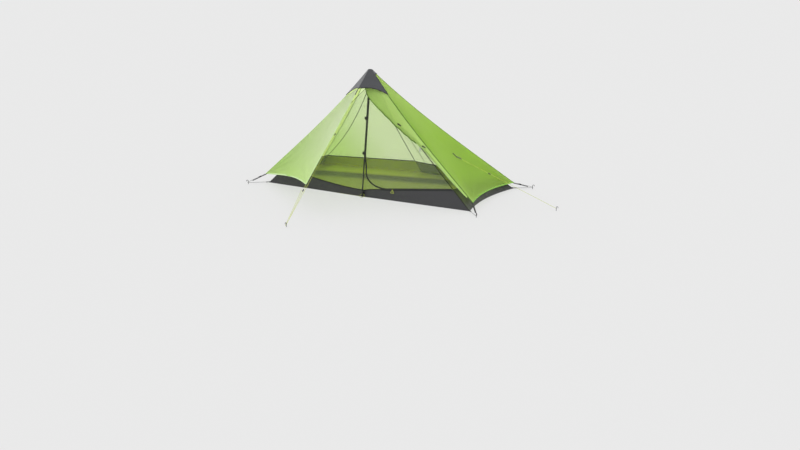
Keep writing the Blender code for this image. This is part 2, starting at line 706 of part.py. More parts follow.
def make_clamp(name, lever_name, from_top, shaft_radius, next_radius, black, lever_finish):
    """A flick-lock: a split collar round the shaft's lower end and a cam lever that folds against it."""
    bore = shaft_radius + SHAFT_CLEARANCE
    outer = bore + CLAMP_WALL
    low_bore = next_radius + SHAFT_CLEARANCE
    start, end = from_top - CLAMP_LENGTH * 0.6, from_top + CLAMP_LENGTH * 0.4
    step = from_top + SHAFT_CLEARANCE
    profile = [
        (outer * 0.9, -end),
        (outer, -end + 0.003),
        (outer, -start - 0.004),
        (outer * 0.88, -start),
        (bore, -start),
        (bore, -step),
        (low_bore, -step),
        (low_bore, -end),
    ]
    pole_object(name, profile, 20, black, hollow=True)

    turn = Vector((1, 0, 0))
    forward = POLE_DOWN.cross(turn).normalized()
    if forward.y > 0:
        forward = -forward
    hinge = GRIP_TOP + POLE_DOWN * (start + 0.006) + forward * (outer + 0.005)
    rings = []
    for share, thick, wide in ((-0.12, 0.003, 0.7), (0.0, 0.004, 1.0), (0.5, 0.0028, 1.0), (0.9, 0.0022, 0.9), (1.0, 0.0012, 0.7)):
        place = hinge + POLE_DOWN * share * LEVER_LENGTH - forward * 0.0008 * share
        ring = []
        for c, s in ((-1, -0.6), (-0.8, -1), (0.8, -1), (1, -0.6), (1, 0.6), (0.8, 1), (-0.8, 1), (-1, 0.6)):
            ring.append(place + turn * c * wide * 0.0065 + forward * s * thick)
        rings.append(ring)
    add_object(lever_name, finish_mesh(ring_solid(rings), lever_name, 35), lever_finish)


def make_pole(black, foam, carbon, lever_finish):
    """The trekking pole: grip up in the peak, three telescoping shafts, basket and tip on the ground."""
    grip = GRIP_RADIUS
    bore = UPPER_SHAFT_RADIUS + SHAFT_CLEARANCE
    shaft_start = 0.045
    end = GRIP_LENGTH + GRIP_SLEEVE_LENGTH
    profile = [
        (bore, -end),
        (grip * 0.72, -end),
        (grip * 0.78, -end + 0.006),
        (grip * 0.78, -GRIP_LENGTH - 0.004),
        (grip * 0.92, -GRIP_LENGTH),
        (grip * 0.86, -GRIP_LENGTH * 0.80),
        (grip * 0.95, -GRIP_LENGTH * 0.62),
        (grip * 0.84, -GRIP_LENGTH * 0.46),
        (grip * 0.92, -GRIP_LENGTH * 0.30),
        (grip, -GRIP_LENGTH * 0.16),
        (grip * 0.96, -GRIP_LENGTH * 0.06),
        (grip * 0.55, -0.0005),
        (0.0012, -0.0005),
        (0.0012, -shaft_start + SHAFT_CLEARANCE),
        (bore, -shaft_start + SHAFT_CLEARANCE),
    ]
    pole_object("pole_grip", profile, 20, foam, hollow=True)

    pole_object("pole_upper_shaft", shaft_profile(UPPER_SHAFT_RADIUS, shaft_start, UPPER_CLAMP_FROM_TOP), 20, carbon, True)
    middle_start = UPPER_CLAMP_FROM_TOP - SHAFT_INSERTION
    middle_end = LOWER_CLAMP_FROM_TOP
    pole_object("pole_middle_shaft", shaft_profile(MIDDLE_SHAFT_RADIUS, middle_start, middle_end), 20, carbon, True)
    lower_start = LOWER_CLAMP_FROM_TOP - SHAFT_INSERTION
    tip_start = POLE_LENGTH - TIP_LENGTH
    lower_end = tip_start + 0.020
    pole_object("pole_lower_shaft", shaft_profile(LOWER_SHAFT_RADIUS, lower_start, lower_end), 20, carbon, True)
    make_clamp("pole_upper_clamp", "pole_upper_lever", UPPER_CLAMP_FROM_TOP, UPPER_SHAFT_RADIUS, MIDDLE_SHAFT_RADIUS, black, lever_finish)
    make_clamp("pole_lower_clamp", "pole_lower_lever", LOWER_CLAMP_FROM_TOP, MIDDLE_SHAFT_RADIUS, LOWER_SHAFT_RADIUS, black, lever_finish)

    sleeve = LOWER_SHAFT_RADIUS + SHAFT_CLEARANCE
    point = 0.0022
    foot = POLE_LENGTH - point * math.sin(POLE_TILT) / math.cos(POLE_TILT) - 0.0003
    basket = tip_start + 0.024
    tip = [
        (point, -foot),
        (0.0052, -foot + 0.012),
        (0.0062, -basket - 0.006),
        (BASKET_RADIUS, -basket - 0.0035),
        (BASKET_RADIUS, -basket - 0.001),
        (0.0095, -basket + 0.001),
        (0.0092, -tip_start - 0.002),
        (sleeve + 0.0012, -tip_start),
        (sleeve, -tip_start),
        (sleeve, -lower_end - SHAFT_CLEARANCE),
        (0.0008, -lower_end - SHAFT_CLEARANCE),
        (0.0008, -foot),
    ]
    pole_object("pole_tip", tip, 20, black, hollow=True)


def make_grip_pocket(finish):
    """The cup sewn inside the peak that the grip pushes into."""
    inside = GRIP_RADIUS + 0.003
    outside = inside + 0.002
    profile = [
        (outside, -0.055),
        (outside, -0.010),
        (outside * 0.65, 0.006),
        (0.004, 0.006),
        (0.004, 0.004),
        (inside * 0.65, 0.004),
        (inside, -0.011),
        (inside, -0.055),
    ]
    pole_object("grip_pocket", profile, 16, finish, hollow=True)


def make_inner_peak(finish):
    """The webbing peak of the inner: it gathers the seams and goes up to a hook behind the grip."""
    count = 12
    open_height = INNER_PEAK_HEIGHT * INNER_PEAK_OPEN + 0.003
    rings = []
    for z, half_x, half_y in (
        (open_height, 0.046, 0.026),
        (open_height + 0.016, 0.036, 0.022),
        (INNER_PEAK_HEIGHT - 0.006, 0.016, 0.012),
        (INNER_PEAK_HEIGHT + 0.010, 0.0075, 0.0022),
        (INNER_PEAK_HEIGHT + 0.060, 0.0075, 0.0022),
    ):
        y = INNER_PEAK_Y - max(0.0, z - INNER_PEAK_HEIGHT) * 0.12
        ring = []
        for k in range(count):
            a = 2 * math.pi * k / count
            ring.append(Vector((half_x * math.cos(a), y + half_y * math.sin(a), z)))
        rings.append(ring)
    add_object("inner_peak_hook", finish_mesh(ring_solid(rings), "inner_peak_hook", 50), finish)


def make_side_clip(finish):
    """The clip that pulls the inner's front-right seam up to the fly's ridge."""
    seam = inner_point(FLOOR_FRONT[1], SIDE_CLIP_HEIGHT)
    outward = (FLOOR_REAR[1] - FLOOR_FRONT[1]).cross(INNER_PEAK - FLOOR_FRONT[1]).normalized()
    if outward.x < 0:
        outward = -outward
    base = seam + outward * 0.006 + Vector((0, 0.004, 0))
    up = (INNER_PEAK - FLOOR_FRONT[1]).normalized()
    across = outward.cross(up).normalized()
    rings = []
    for along, half_width, half_thick in (
        (-0.012, 0.006, 0.0020),
        (-0.008, 0.008, 0.0030),
        (0.008, 0.008, 0.0030),
        (0.012, 0.004, 0.0014),
        (0.060, 0.004, 0.0010),
    ):
        lift = max(0.0, along - 0.012) * 0.5
        place = base + up * along + outward * lift
        ring = []
        for c, s in ((-1, -1), (1, -1), (1, 1), (-1, 1)):
            ring.append(place + across * c * half_width + outward * s * half_thick)
        rings.append(ring)
    add_object("inner_side_clip", finish_mesh(ring_solid(rings), "inner_side_clip", 30), finish)


def make_foot_loop(finish):
    """The cord loop at the groundsheet's front edge, standing round the pole's tip to keep it in place."""
    wire = FOOT_LOOP_CORD / 2
    back = FLOOR_POLE_Y - 3 * wire
    front = 2 * POLE_FOOT_Y - back
    low, high = wire, FOOT_LOOP_RISE
    count, sides = 24, 8
    centre = Vector((0, (front + back) / 2, (low + high) / 2))
    reach = Vector((0, (back - front) / 2, (high - low) / 2))
    rings = []
    for k in range(count):
        a = 2 * math.pi * k / count
        place = centre + Vector((FOOT_LOOP_HALF_WIDTH * math.cos(a), 0, 0)) + reach * math.sin(a)
        along = Vector((-FOOT_LOOP_HALF_WIDTH * math.sin(a), 0, 0)) + reach * math.cos(a)
        along, spoke, across = frame_on(along, place - centre)
        ring = []
        for m in range(sides):
            b = 2 * math.pi * m / sides
            ring.append(place + (spoke * math.cos(b) + across * math.sin(b)) * wire)
        rings.append(ring)
    add_object("pole_foot_loop", finish_mesh(ring_solid(rings, True), "pole_foot_loop"), finish)


def end_loop_frame(side):
    """Root and directions of the guy-out tab in the middle of an end panel."""
    first, second = (FRONT_RIGHT, REAR_RIGHT) if side > 0 else (REAR_LEFT, FRONT_LEFT)
    u = END_LOOP_SHARE if side > 0 else 1 - END_LOOP_SHARE
    place = fly_surface(first, second, u, END_LOOP_REACH_SHARE)
    run = (fly_surface(first, second, u, END_LOOP_REACH_SHARE + 0.02) - place).normalized()
    level = Vector((0, 1, 0))
    outward = run.cross(level)
    if outward.x * side < 0:
        outward = -outward
    return place, outward.normalized(), level


def end_loop_tip(side):
    place, outward, _ = end_loop_frame(side)
    root = place + outward * (FLY_THICKNESS / 2 + WEBBING_THICKNESS + 0.0008)
    direction = (Vector((side * END_STAKE[0], END_STAKE[1], 0)) - root).normalized()
    return root + direction * END_LOOP_LENGTH, direction


def make_end_loops(finish):
    """A folded webbing tab on each end panel, for the end guy line."""
    for side in (-1, 1):
        place, outward, level = end_loop_frame(side)
        tip, direction = end_loop_tip(side)
        root = tip - direction * END_LOOP_LENGTH
        thick_way = direction.cross(level).normalized()
        rings = []
        for share, wide in ((0.0, 1.0), (0.75, 1.0), (0.93, 0.8), (1.0, 0.45)):
            spot = root.lerp(tip, share)
            ring = []
            for c, s in ((-1, -1), (1, -1), (1, 1), (-1, 1)):
                ring.append(spot + level * c * wide * END_LOOP_WIDTH / 2 + thick_way * s * WEBBING_THICKNESS / 2)
            rings.append(ring)
        add_object(f"end_loop_{SIDE_NAME[side]}", finish_mesh(ring_solid(rings), f"end_loop_{side}", 30), finish)


def make_stake(name, place, towards, finish):
    """The head of a wire stake: a shaft out of the ground, bent over into a hook."""
    away = Vector((towards.x - place.x, towards.y - place.y, 0)).normalized() * -1
    points = [Vector((place.x, place.y, 0)), Vector((place.x, place.y, STAKE_STANDS))]
    centre = points[1] + away * HOOK_RADIUS
    for k in range(1, 8):
        a = math.pi * k / 7 * 1.15
        points.append(centre - away * HOOK_RADIUS * math.cos(a) + UP * HOOK_RADIUS * math.sin(a))
    tube(name, points, STAKE_DIAMETER, finish)


def stake_spot(place, z):
    return Vector((place[0], place[1], z))


def corner_route(fly_corner, stake, floor_corner):
    """A cord from the fly's corner round the stake and back to the floor's corner."""
    clear = STAKE_DIAMETER / 2 + CORD_DIAMETER / 2 + CORD_GAP
    high, low = stake_spot(stake, 0.021), stake_spot(stake, 0.016)
    down = (high - fly_corner).normalized()
    back = (floor_corner + UP * 0.006 - low).normalized()
    side = (down - back).normalized()
    side.z = 0
    side.normalize()
    across = Vector((-side.y, side.x, 0))
    if across.dot(fly_corner - high) < 0:
        across = -across
    start = fly_corner + down * 0.004
    finish = floor_corner + UP * 0.0065 - back * 0.006
    turns = 6
    bend = []
    for k in range(turns + 1):
        a = -math.pi / 2 + math.pi * k / turns
        spot = high.lerp(low, k / turns)
        bend.append(spot + side * clear * math.cos(a) - across * clear * math.sin(a))
    return [start, start.lerp(bend[0], 0.5)] + bend + [bend[-1].lerp(finish, 0.5), finish]


def make_cords_and_stakes(yellow, black, plastic, metal):
    """Guy lines, corner cords and their tensioners, each to the stake that holds it."""
    bore = CORD_DIAMETER / 2 + CORD_GAP
    block = (TENSIONER_LENGTH, TENSIONER_WIDTH, TENSIONER_HEIGHT)
    reach = STAKE_DIAMETER / 2 + CORD_DIAMETER / 2 + CORD_GAP

    front = stake_spot(FRONT_STAKE, 0)
    make_stake("stake_front", front, POLE_FOOT, metal)
    guy_start = fly_ridge(FREE_CORNER, GUY_START, 0) + Vector((GUY_OFFSET, 0, 0))
    guy_end = front + Vector((0, reach, 0.028))
    tube("front_guy_line", [guy_start.lerp(guy_end, k / 6) for k in range(7)], CORD_DIAMETER, yellow)
    run = guy_end - guy_start
    bored_block("front_guy_tensioner", guy_start + run * 0.36, run, UP, block, bore, plastic)

    hem_start = FREE_CORNER + (front - FREE_CORNER).normalized() * 0.006
    hem_end = front + Vector((-reach - 0.003, reach, 0.012))
    tube("door_hem_cord", [hem_start.lerp(hem_end, k / 4) for k in range(5)], CORD_DIAMETER, yellow)
    run = hem_end - hem_start
    bored_block("door_hem_tensioner", hem_start + run * 0.14, run, UP, block, bore, plastic)

    end_stake = Vector((END_STAKE[0], END_STAKE[1], 0))
    tip, direction = end_loop_tip(1)
    make_stake("stake_end", end_stake, tip, metal)
    guy_start = tip + direction * 0.004
    guy_end = end_stake + Vector((-reach, 0, 0.026))
    tube("end_guy_line", [guy_start.lerp(guy_end, k / 6) for k in range(7)], CORD_DIAMETER, yellow)
    run = guy_end - guy_start
    bored_block("end_guy_tensioner", guy_start + run * 0.30, run, UP, block, bore, plastic)

    corners = {
        "front_left": (FLY_FRONT[-1], (-FRONT_CORNER_STAKE[0], FRONT_CORNER_STAKE[1]), FLOOR_FRONT[-1], True),
        "front_right": (FLY_FRONT[1], FRONT_CORNER_STAKE, FLOOR_FRONT[1], True),
        "back_right": (FLY_REAR[1], REAR_CORNER_STAKE, FLOOR_REAR[1], True),
        "back_left": (FLY_REAR[-1], (-REAR_CORNER_STAKE[0], REAR_CORNER_STAKE[1]), FLOOR_REAR[-1], False),
        "back_middle": (FLY_BACK, (0, BACK_STAKE_Y), FLOOR_BACK, False),
    }
    for word, (fly_corner, stake, floor_corner, seen) in corners.items():
        make_stake(f"stake_{word}", stake_spot(stake, 0), floor_corner, metal)
        route = corner_route(fly_corner, stake, floor_corner)
        tube(f"corner_cord_{word}", route, CORD_DIAMETER, black)
        if seen:
            run = route[2] - route[0]
            bored_block(f"corner_tensioner_{word}", route[0] + run * 0.32, run, UP, block, bore, plastic)


def main():
    clear_scene()
    green = material("fly_green", (0.25, 0.51, 0.06), 0.55)
    pale = material("fly_pale_green", (0.47, 0.66, 0.25), 0.6)
    dark = material("dark_grey_fabric", (0.05, 0.05, 0.055), 0.7)
    mesh = material("inner_mesh", (0.34, 0.37, 0.37), 0.8)
    black = material("black_plastic", (0.012, 0.012, 0.013), 0.45)
    carbon = material("black_shaft", (0.010, 0.010, 0.011), 0.3)
    foam = material("grip_foam", (0.014, 0.014, 0.014), 0.9)
    yellow = material("yellow_cord", (0.67, 0.74, 0.16), 0.7)
    metal = material("black_stake_wire", (0.02, 0.02, 0.02), 0.4, 1.0)

    make_floor(dark)
    make_tub(dark)
    make_mesh_walls(mesh)
    make_zip(black, yellow)
    make_inner_peak(black)
    make_side_clip(black)
    make_pole(black, foam, carbon, black)
    make_grip_pocket(dark)
    make_foot_loop(yellow)
    make_fly(green, pale)
    make_right_door(green)
    make_toggles(black)
    make_cap(dark)
    make_end_loops(black)
    make_cords_and_stakes(yellow, black, black, metal)


main()
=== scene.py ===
import json
import math

import bmesh
import bpy
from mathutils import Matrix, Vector, noise


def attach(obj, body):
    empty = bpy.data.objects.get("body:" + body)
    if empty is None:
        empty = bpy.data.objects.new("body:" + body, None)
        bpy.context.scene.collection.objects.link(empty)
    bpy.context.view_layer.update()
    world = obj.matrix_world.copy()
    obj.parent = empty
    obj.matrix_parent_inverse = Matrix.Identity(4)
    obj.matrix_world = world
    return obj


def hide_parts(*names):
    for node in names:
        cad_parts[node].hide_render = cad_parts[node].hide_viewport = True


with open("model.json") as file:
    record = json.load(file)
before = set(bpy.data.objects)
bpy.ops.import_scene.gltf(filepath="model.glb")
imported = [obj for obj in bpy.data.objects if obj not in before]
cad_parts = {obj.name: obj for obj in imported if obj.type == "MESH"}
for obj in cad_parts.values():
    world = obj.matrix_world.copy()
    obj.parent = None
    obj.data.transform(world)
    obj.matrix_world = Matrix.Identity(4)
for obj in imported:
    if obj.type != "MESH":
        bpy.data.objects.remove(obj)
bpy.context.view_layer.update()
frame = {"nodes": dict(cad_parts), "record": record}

# ---------------------------------------------------------------- Camera, floor and light
# A long lens stands low in front of the tent, to the right of its door, as in the photograph.
# The tent stands on a pale seamless floor that shines a little itself, in an even pale room,
# with one very wide soft lamp up behind it, so that its cloth glows.
CAMERA_PLACE = (5.7185, -9.8837, 2.8559)
CAMERA_AZIMUTH = 29.449
CAMERA_ELEVATION = 12.113
LENS_MM = 50.77
SENSOR_MM = 36
CAMERA_SHIFT = -0.09625
CAMERA_REACH = 400
LAMP_TOWARDS = (-0.35, 0.30, 0.89)
LAMP_STRENGTH = 0.90
LAMP_WIDTH_DEGREES = 100
ROOM_LIGHT = 1.15
WHITE = (1, 1, 1, 1)
BACKGROUND = "#EBEBEB"
FLOOR_PAPER = "#6E6E6E"
FLOOR_GLOW = 0.60
FLOOR_REACH = 160.0
FLOOR_DROP = 0.0012


def linear(code):
    """An sRGB hex colour as linear red, green, blue and alpha."""
    parts = [int(code[i : i + 2], 16) / 255 for i in (1, 3, 5)]
    return [c / 12.92 if c < 0.04045 else ((c + 0.055) / 1.055) ** 2.4 for c in parts] + [1.0]


def node(tree, kind, inputs=None, out=0, **settings):
    """Adds a shader node and gives its output. An input is a value, a hex colour
    or the output that feeds it."""
    made = tree.nodes.new("ShaderNode" + kind)
    for name, value in settings.items():
        setattr(made, name, value)
    for name, value in (inputs or {}).items():
        if isinstance(value, bpy.types.NodeSocket):
            tree.links.new(value, made.inputs[name])
        else:
            made.inputs[name].default_value = linear(value) if isinstance(value, str) else value
    return made.outputs[out] if made.outputs else None


def mixed(tree, share, first, second, **settings):
    return node(tree, "Mix", {0: share, 6: first, 7: second}, 2, data_type="RGBA", **settings)


def start_material(name):
    material = bpy.data.materials.new(name)
    material.use_nodes = True
    material.node_tree.nodes.clear()
    return material, material.node_tree


scene = bpy.context.scene
scene.view_settings.view_transform = "Standard"
bpy.ops.object.select_all(action="DESELECT")
bpy.ops.object.camera_add(
    location=CAMERA_PLACE,
    rotation=(math.radians(90 - CAMERA_ELEVATION), 0, math.radians(CAMERA_AZIMUTH)),
)
camera = bpy.context.object
camera.name = "camera"
camera.data.lens = LENS_MM
camera.data.sensor_width = SENSOR_MM
camera.data.shift_y = CAMERA_SHIFT
camera.data.clip_end = CAMERA_REACH
scene.camera = camera

bpy.ops.object.light_add(type="SUN")
lamp = bpy.context.object
lamp.name = "soft_lamp"
lamp.rotation_euler = Vector(LAMP_TOWARDS).to_track_quat("Z", "Y").to_euler()
lamp.data.energy = LAMP_STRENGTH
lamp.data.angle = math.radians(LAMP_WIDTH_DEGREES)

world = bpy.data.worlds.new("pale_room")
world.use_nodes = True
scene.world = world
tree = world.node_tree
tree.nodes.clear()
rays = node(tree, "LightPath", out="Is Camera Ray")
seen = node(tree, "Background", {"Color": BACKGROUND, "Strength": 1.0})
room = node(tree, "Background", {"Color": WHITE, "Strength": ROOM_LIGHT})
node(tree, "OutputWorld", {"Surface": node(tree, "MixShader", {0: rays, 1: room, 2: seen})})

bpy.ops.mesh.primitive_plane_add(size=FLOOR_REACH, location=(0, 0, -FLOOR_DROP))
floor = bpy.context.object
floor.name = "studio_floor"
paper, tree = start_material("matt_floor_paper")
paint = node(tree, "BsdfDiffuse", {"Color": FLOOR_PAPER})
lit = node(tree, "Emission", {"Color": WHITE, "Strength": FLOOR_GLOW})
node(tree, "OutputMaterial", {"Surface": node(tree, "AddShader", {0: paint, 1: lit})})
floor.data.materials.append(paper)

# ---------------------------------------------------------------- Guy lines and corner cords
# Braided polyester cord, 3 mm: bright yellow for the lines that people trip on, black for the
# short ones at the corners. Each is tied to the tent and runs taut to its stake.
CORD_DIAMETER = 0.003
CORD_RADIUS = CORD_DIAMETER / 2
BRAID_PITCH = 0.014
BRAID_DEPTH = 0.07
BRAID_STEP = 0.0035
FRONT_GUY = ((-0.0002, -0.5460, 1.1110), (-0.0410, -1.7804, 0.0280))
END_GUY = ((0.8742, -0.0497, 0.3904), (1.8854, -0.0600, 0.0260))
HEM_CORD = ((-0.0766, -1.4096, 0.3082), (-0.0486, -1.7804, 0.0120))
HEM_PARTS = 8
HEM_SIDE = Vector((-0.006, 0, 0))
HEM_TURN = 0.003
HEM_SPREAD = 0.012
CORNER_ROUTES = {
    "front_right": [
        (1.2132, -0.4950, 0.0916), (1.2709, -0.5701, 0.0563), (1.3286, -0.6451, 0.0210),
        (1.3295, -0.6473, 0.0202), (1.3293, -0.6496, 0.0193), (1.3279, -0.6516, 0.0185),
        (1.3257, -0.6525, 0.0177), (1.3234, -0.6523, 0.0168), (1.3214, -0.6509, 0.0160),
        (1.2507, -0.5687, 0.0114), (1.1800, -0.4865, 0.0068),
    ],
    "back_right": [
        (1.1787, 0.5514, 0.0612), (1.2675, 0.5878, 0.0411), (1.3563, 0.6243, 0.0210),
        (1.3587, 0.6246, 0.0202), (1.3609, 0.6236, 0.0193), (1.3623, 0.6217, 0.0185),
        (1.3626, 0.6193, 0.0177), (1.3616, 0.6171, 0.0168), (1.3597, 0.6157, 0.0160),
        (1.2706, 0.5815, 0.0114), (1.1815, 0.5473, 0.0068),
    ],
    "back_middle": [
        (0.0000, 0.8238, 0.0786), (-0.0023, 0.9019, 0.0498), (-0.0046, 0.9800, 0.0210),
        (-0.0040, 0.9823, 0.0202), (-0.0023, 0.9840, 0.0193), (0.0000, 0.9846, 0.0185),
        (0.0023, 0.9840, 0.0177), (0.0040, 0.9823, 0.0168), (0.0046, 0.9800, 0.0160),
        (0.0023, 0.8530, 0.0114), (0.0000, 0.7260, 0.0067),
    ],
}
for word in ("front", "back"):
    CORNER_ROUTES[word + "_left"] = [(-x, y, z) for x, y, z in CORNER_ROUTES[word + "_right"]]
PULL_LOOP = (
    (0.3320, -0.4992, 0.1090), (0.3140, -0.5035, 0.0760),
    (0.3500, -0.4990, 0.0760), (0.3330, -0.4992, 0.1090),
)
PULL_CORD_RADIUS = 0.0017


def finish_piece(piece, body, slot, *nodes):
    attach(piece, body)
    if nodes:
        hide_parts(*nodes)


def straight(ends, count):
    a, b = Vector(ends[0]), Vector(ends[1])
    return [a.lerp(b, k / count) for k in range(count + 1)]


def measured(route):
    return sum((Vector(b) - Vector(a)).length for a, b in zip(route, route[1:]))


def lay_points(route, step):
    """The route cut into even steps."""
    route = [Vector(spot) for spot in route]
    spots = [route[0]]
    for a, b in zip(route, route[1:]):
        count = max(1, math.ceil((b - a).length / step))
        spots += [a.lerp(b, k / count) for k in range(1, count + 1)]
    return spots


def along(spots):
    """Yields each spot of a line with the distance up to it and the line's direction there."""
    run = 0.0
    for i, spot in enumerate(spots):
        run += (spot - spots[max(i - 1, 0)]).length
        way = spots[min(i + 1, len(spots) - 1)] - spots[max(i - 1, 0)]
        yield spot, run, way.normalized()


def swept_piece(name, rings, turn_size, closed=False):
    """A skin over rings of points, each with its distance along; closed joins its two ends. Its
    UV map is in metres, with turn_size from one point of a ring to the next."""
    shape = bmesh.new()
    layer = shape.loops.layers.uv.new("UVMap")
    rings = [(run, [shape.verts.new(spot) for spot in ring]) for run, ring in rings]
    for (low_run, low), (high_run, high) in zip(rings, rings[1:] + (rings[:1] if closed else [])):
        for k in range(len(low)):
            m = (k + 1) % len(low)
            face = shape.faces.new((low[k], low[m], high[m], high[k]))
            marks = ((low_run, k), (low_run, k + 1), (high_run, k + 1), (high_run, k))
            for loop, (far, turn) in zip(face.loops, marks):
                loop[layer].uv = (far, turn * turn_size)
    if not closed:
        shape.faces.new(rings[0][1][::-1])
        shape.faces.new(rings[-1][1])
    bmesh.ops.recalc_face_normals(shape, faces=shape.faces)
    mesh = bpy.data.meshes.new(name)
    shape.to_mesh(mesh)
    shape.free()
    piece = bpy.data.objects.new(name, mesh)
    scene.collection.objects.link(piece)
    return piece


def tube_piece(name, route, radius, swell, material, sides=10, step=BRAID_STEP):
    """A solid tube along the route. Swell gives its relative size by distance along and angle."""
    rings, side = [], None
    for spot, run, way in along(lay_points(route, step)):
        side = side or way.orthogonal().normalized()
        side = (side - way * side.dot(way)).normalized()
        up = way.cross(side)
        ring = []
        for k in range(sides):
            a = 2 * math.pi * k / sides
            size = radius * swell(run, a)
            ring.append(spot + (side * math.cos(a) + up * math.sin(a)) * size)
        rings.append((run, ring))
    piece = swept_piece(name, rings, 2 * math.pi * radius / sides)
    piece.data.materials.append(material)
    for face in piece.data.polygons:
        face.use_smooth = len(face.vertices) == 4
    return piece


def braid(run, angle):
    """Two crossing sets of strands, as on a sleeve that is braided round a core."""
    turn = 2 * math.pi * run / BRAID_PITCH
    return 1 + BRAID_DEPTH * (math.cos(4 * angle + turn) + math.cos(4 * angle - turn)) / 2


def cord_piece(name, route, material, slot, *nodes, body="tent", lay="taut", radius=CORD_RADIUS):
    piece = tube_piece(name, route, radius, braid, material)
    finish_piece(piece, body, slot, *nodes)
    tuple(route[0])
    round(measured(route), 3)
    [tuple(spot) for spot in route]


def braided_cord(name, code, gap_shade, painted_glow=0.0):
    """Polyester sleeve braided over a core: matt, with painted shade in the gaps between its
    strands. The last argument is a painted glow: how much the cord shines by itself, standing in
    for its fluorescent yarn."""
    material, tree = start_material(name)
    flat = node(tree, "TexCoord", out="UV")
    cross = []
    for lean in (0.7, -0.7):
        turned = node(tree, "Mapping", {"Vector": flat, "Rotation": (0, 0, lean)})
        cross.append(node(tree, "TexWave", {"Vector": turned, "Scale": 90.0}, out="Fac"))
    strands = node(tree, "Math", {0: cross[0], 1: cross[1]}, operation="MULTIPLY")
    tone = mixed(tree, strands, gap_shade, code)
    rise = node(tree, "Bump", {"Height": strands, "Strength": 0.4, "Distance": 0.0004})
    looks = {"Base Color": tone, "Roughness": 0.7, "Normal": rise}
    looks |= {"Sheen Weight": 0.2, "Emission Color": tone, "Emission Strength": painted_glow}
    node(tree, "OutputMaterial", {"Surface": node(tree, "BsdfPrincipled", looks)})
    return material


# The second colour of each cord is the painted shade in its gaps. The yellow cord also has a
# painted glow for its fluorescent yarn.
yellow_cord = braided_cord("yellow_fluorescent_polyester", "#E0EA5C", "#8E9A35", 0.2)
black_cord = braided_cord("black_braided_polyester", "#1B1B1C", "#060606")

for name, ends, count in (("front_guy_line", FRONT_GUY, 18), ("end_guy_line", END_GUY, 16)):
    cord_piece(name + "_braid", straight(ends, count), yellow_cord, "yellow_cord", name)

# The hem cord is a loop: it goes down from the door's corner, round the front stake and back
# up to the tensioner, so that two strands lie side by side.
hem_down = straight(HEM_CORD, HEM_PARTS)
stake_turn, hem_up = [], []
for k in range(1, 6):
    angle = math.pi * k / 6
    spot = hem_down[-1] + HEM_SIDE / 2 - HEM_SIDE / 2 * math.cos(angle)
    stake_turn.append(spot + Vector((0, -HEM_TURN * math.sin(angle), 0)))
for k, spot in enumerate(reversed(hem_down[1:])):
    hem_up.append(spot + HEM_SIDE - Vector((HEM_SPREAD * k / (HEM_PARTS - 1), 0, 0)))
route = hem_down + stake_turn + hem_up
cord_piece("door_hem_cord_braid", route, yellow_cord, "yellow_cord", "door_hem_cord")

for word, route in CORNER_ROUTES.items():
    name = "corner_cord_" + word
    cord_piece(name + "_braid", route, black_cord, "black_plastic", name)

# A loop of the yellow cord through the eye of the zip's pull, spread to a triangle.
route = []
for ends in zip(PULL_LOOP, PULL_LOOP[1:]):
    route += straight(ends, 6)[:-1]
route.append(Vector(PULL_LOOP[-1]))
loop = {"body": "zip_pull", "lay": "hanging", "radius": PULL_CORD_RADIUS}
cord_piece("zip_pull_cord", route, yellow_cord, "yellow_cord", **loop)

# ---------------------------------------------------------------- Groundsheet and bathtub walls
# One waterproof tub: coated nylon, dark grey outside and olive inside. The green light that falls
# in is painted into the lining as a bright lime colour, and painted shade darkens the end walls and
# the back right wall. The floor has a band of painted shade with a strip of painted light behind
# it. The walls fold up from the floor and are seamed at the corners, with a black tape bound over
# their top edge.
FLOOR_HALF_LENGTH = 1.176
FLOOR_POLE_Y = -0.508
FLOOR_FRONT_Y = -0.482
FLOOR_REAR_Y = 0.545
FLOOR_BACK_Y = 0.720
FLOOR_END_HOLLOW = 0.070
FLOOR_SHRINK = 0.9985
FLOOR_LIFT = 0.0012
FLOOR_PUFF = 0.0022
INNER_PEAK = Vector((0, -0.340, 1.130))
INNER_PEAK_OPEN = 0.955
TUB_CORNER = 0.185
TUB_POLE = 0.068
TUB_REAR = 0.125
TUB_BACK = 0.150
TUB_BASE = 0.0006
TUB_OUTSIDE = "#37373A"
CLOTH = 0.0008
CLOTH_SMOOTH = math.radians(50)
RIBBON_SMOOTH = math.radians(35)
RIBBON_TURN = 0.003
TAPED_SEAM = 0.018
TAPED_SEAM_SHARE = 0.10
TAPED_SEAM_INSET = 0.0034
FLOOR_SEAM = 0.010
FLOOR_SEAM_HEIGHT = 0.006
FLOOR_SEAM_LIFT = 0.0008
SEAM_DEPTH = 0.0011
BINDING_DEPTH = 0.008
BINDING_THICKNESS = 0.0034
# The floor lining is painted along a slanting axis: a dark band of painted shade where the floor
# meets the back wall, and behind it a bright strip of painted light, as if the floor rose there and
# were lit like the wall.
FLOOR_AXIS = (-0.2, 1, 0)
FLOOR_LIGHT_AND_SHADE_TONES = (
    (-0.5, "#9AA222"), (0.16, "#929A20"), (0.28, "#4E540E"),
    (0.41, "#585E10"), (0.48, "#BEC828"), (0.72, "#DCE62C"),
)

FLOOR_POLE = Vector((0, FLOOR_POLE_Y, 0))
FLOOR_BACK = Vector((0, FLOOR_BACK_Y, 0))
FLOOR_FRONT = {side: Vector((side * FLOOR_HALF_LENGTH, FLOOR_FRONT_Y, 0)) for side in (-1, 1)}
FLOOR_REAR = {side: Vector((side * FLOOR_HALF_LENGTH, FLOOR_REAR_Y, 0)) for side in (-1, 1)}
SIDE_WORD = {-1: "left", 1: "right"}
UP = Vector((0, 0, 1))


def ripple(spot, size, depth, seed):
    """A smooth small bulge or hollow at this place, with waves of about the given size."""
    return depth * noise.noise(spot / size + Vector((seed, 0.37 * seed, 0)))


def apply_modifier(piece, kind, **settings):
    bpy.context.view_layer.objects.active = piece
    made = piece.modifiers.new(kind.lower(), kind)
    for name, value in settings.items():
        setattr(made, name, value)
    bpy.ops.object.modifier_apply(modifier=made.name)


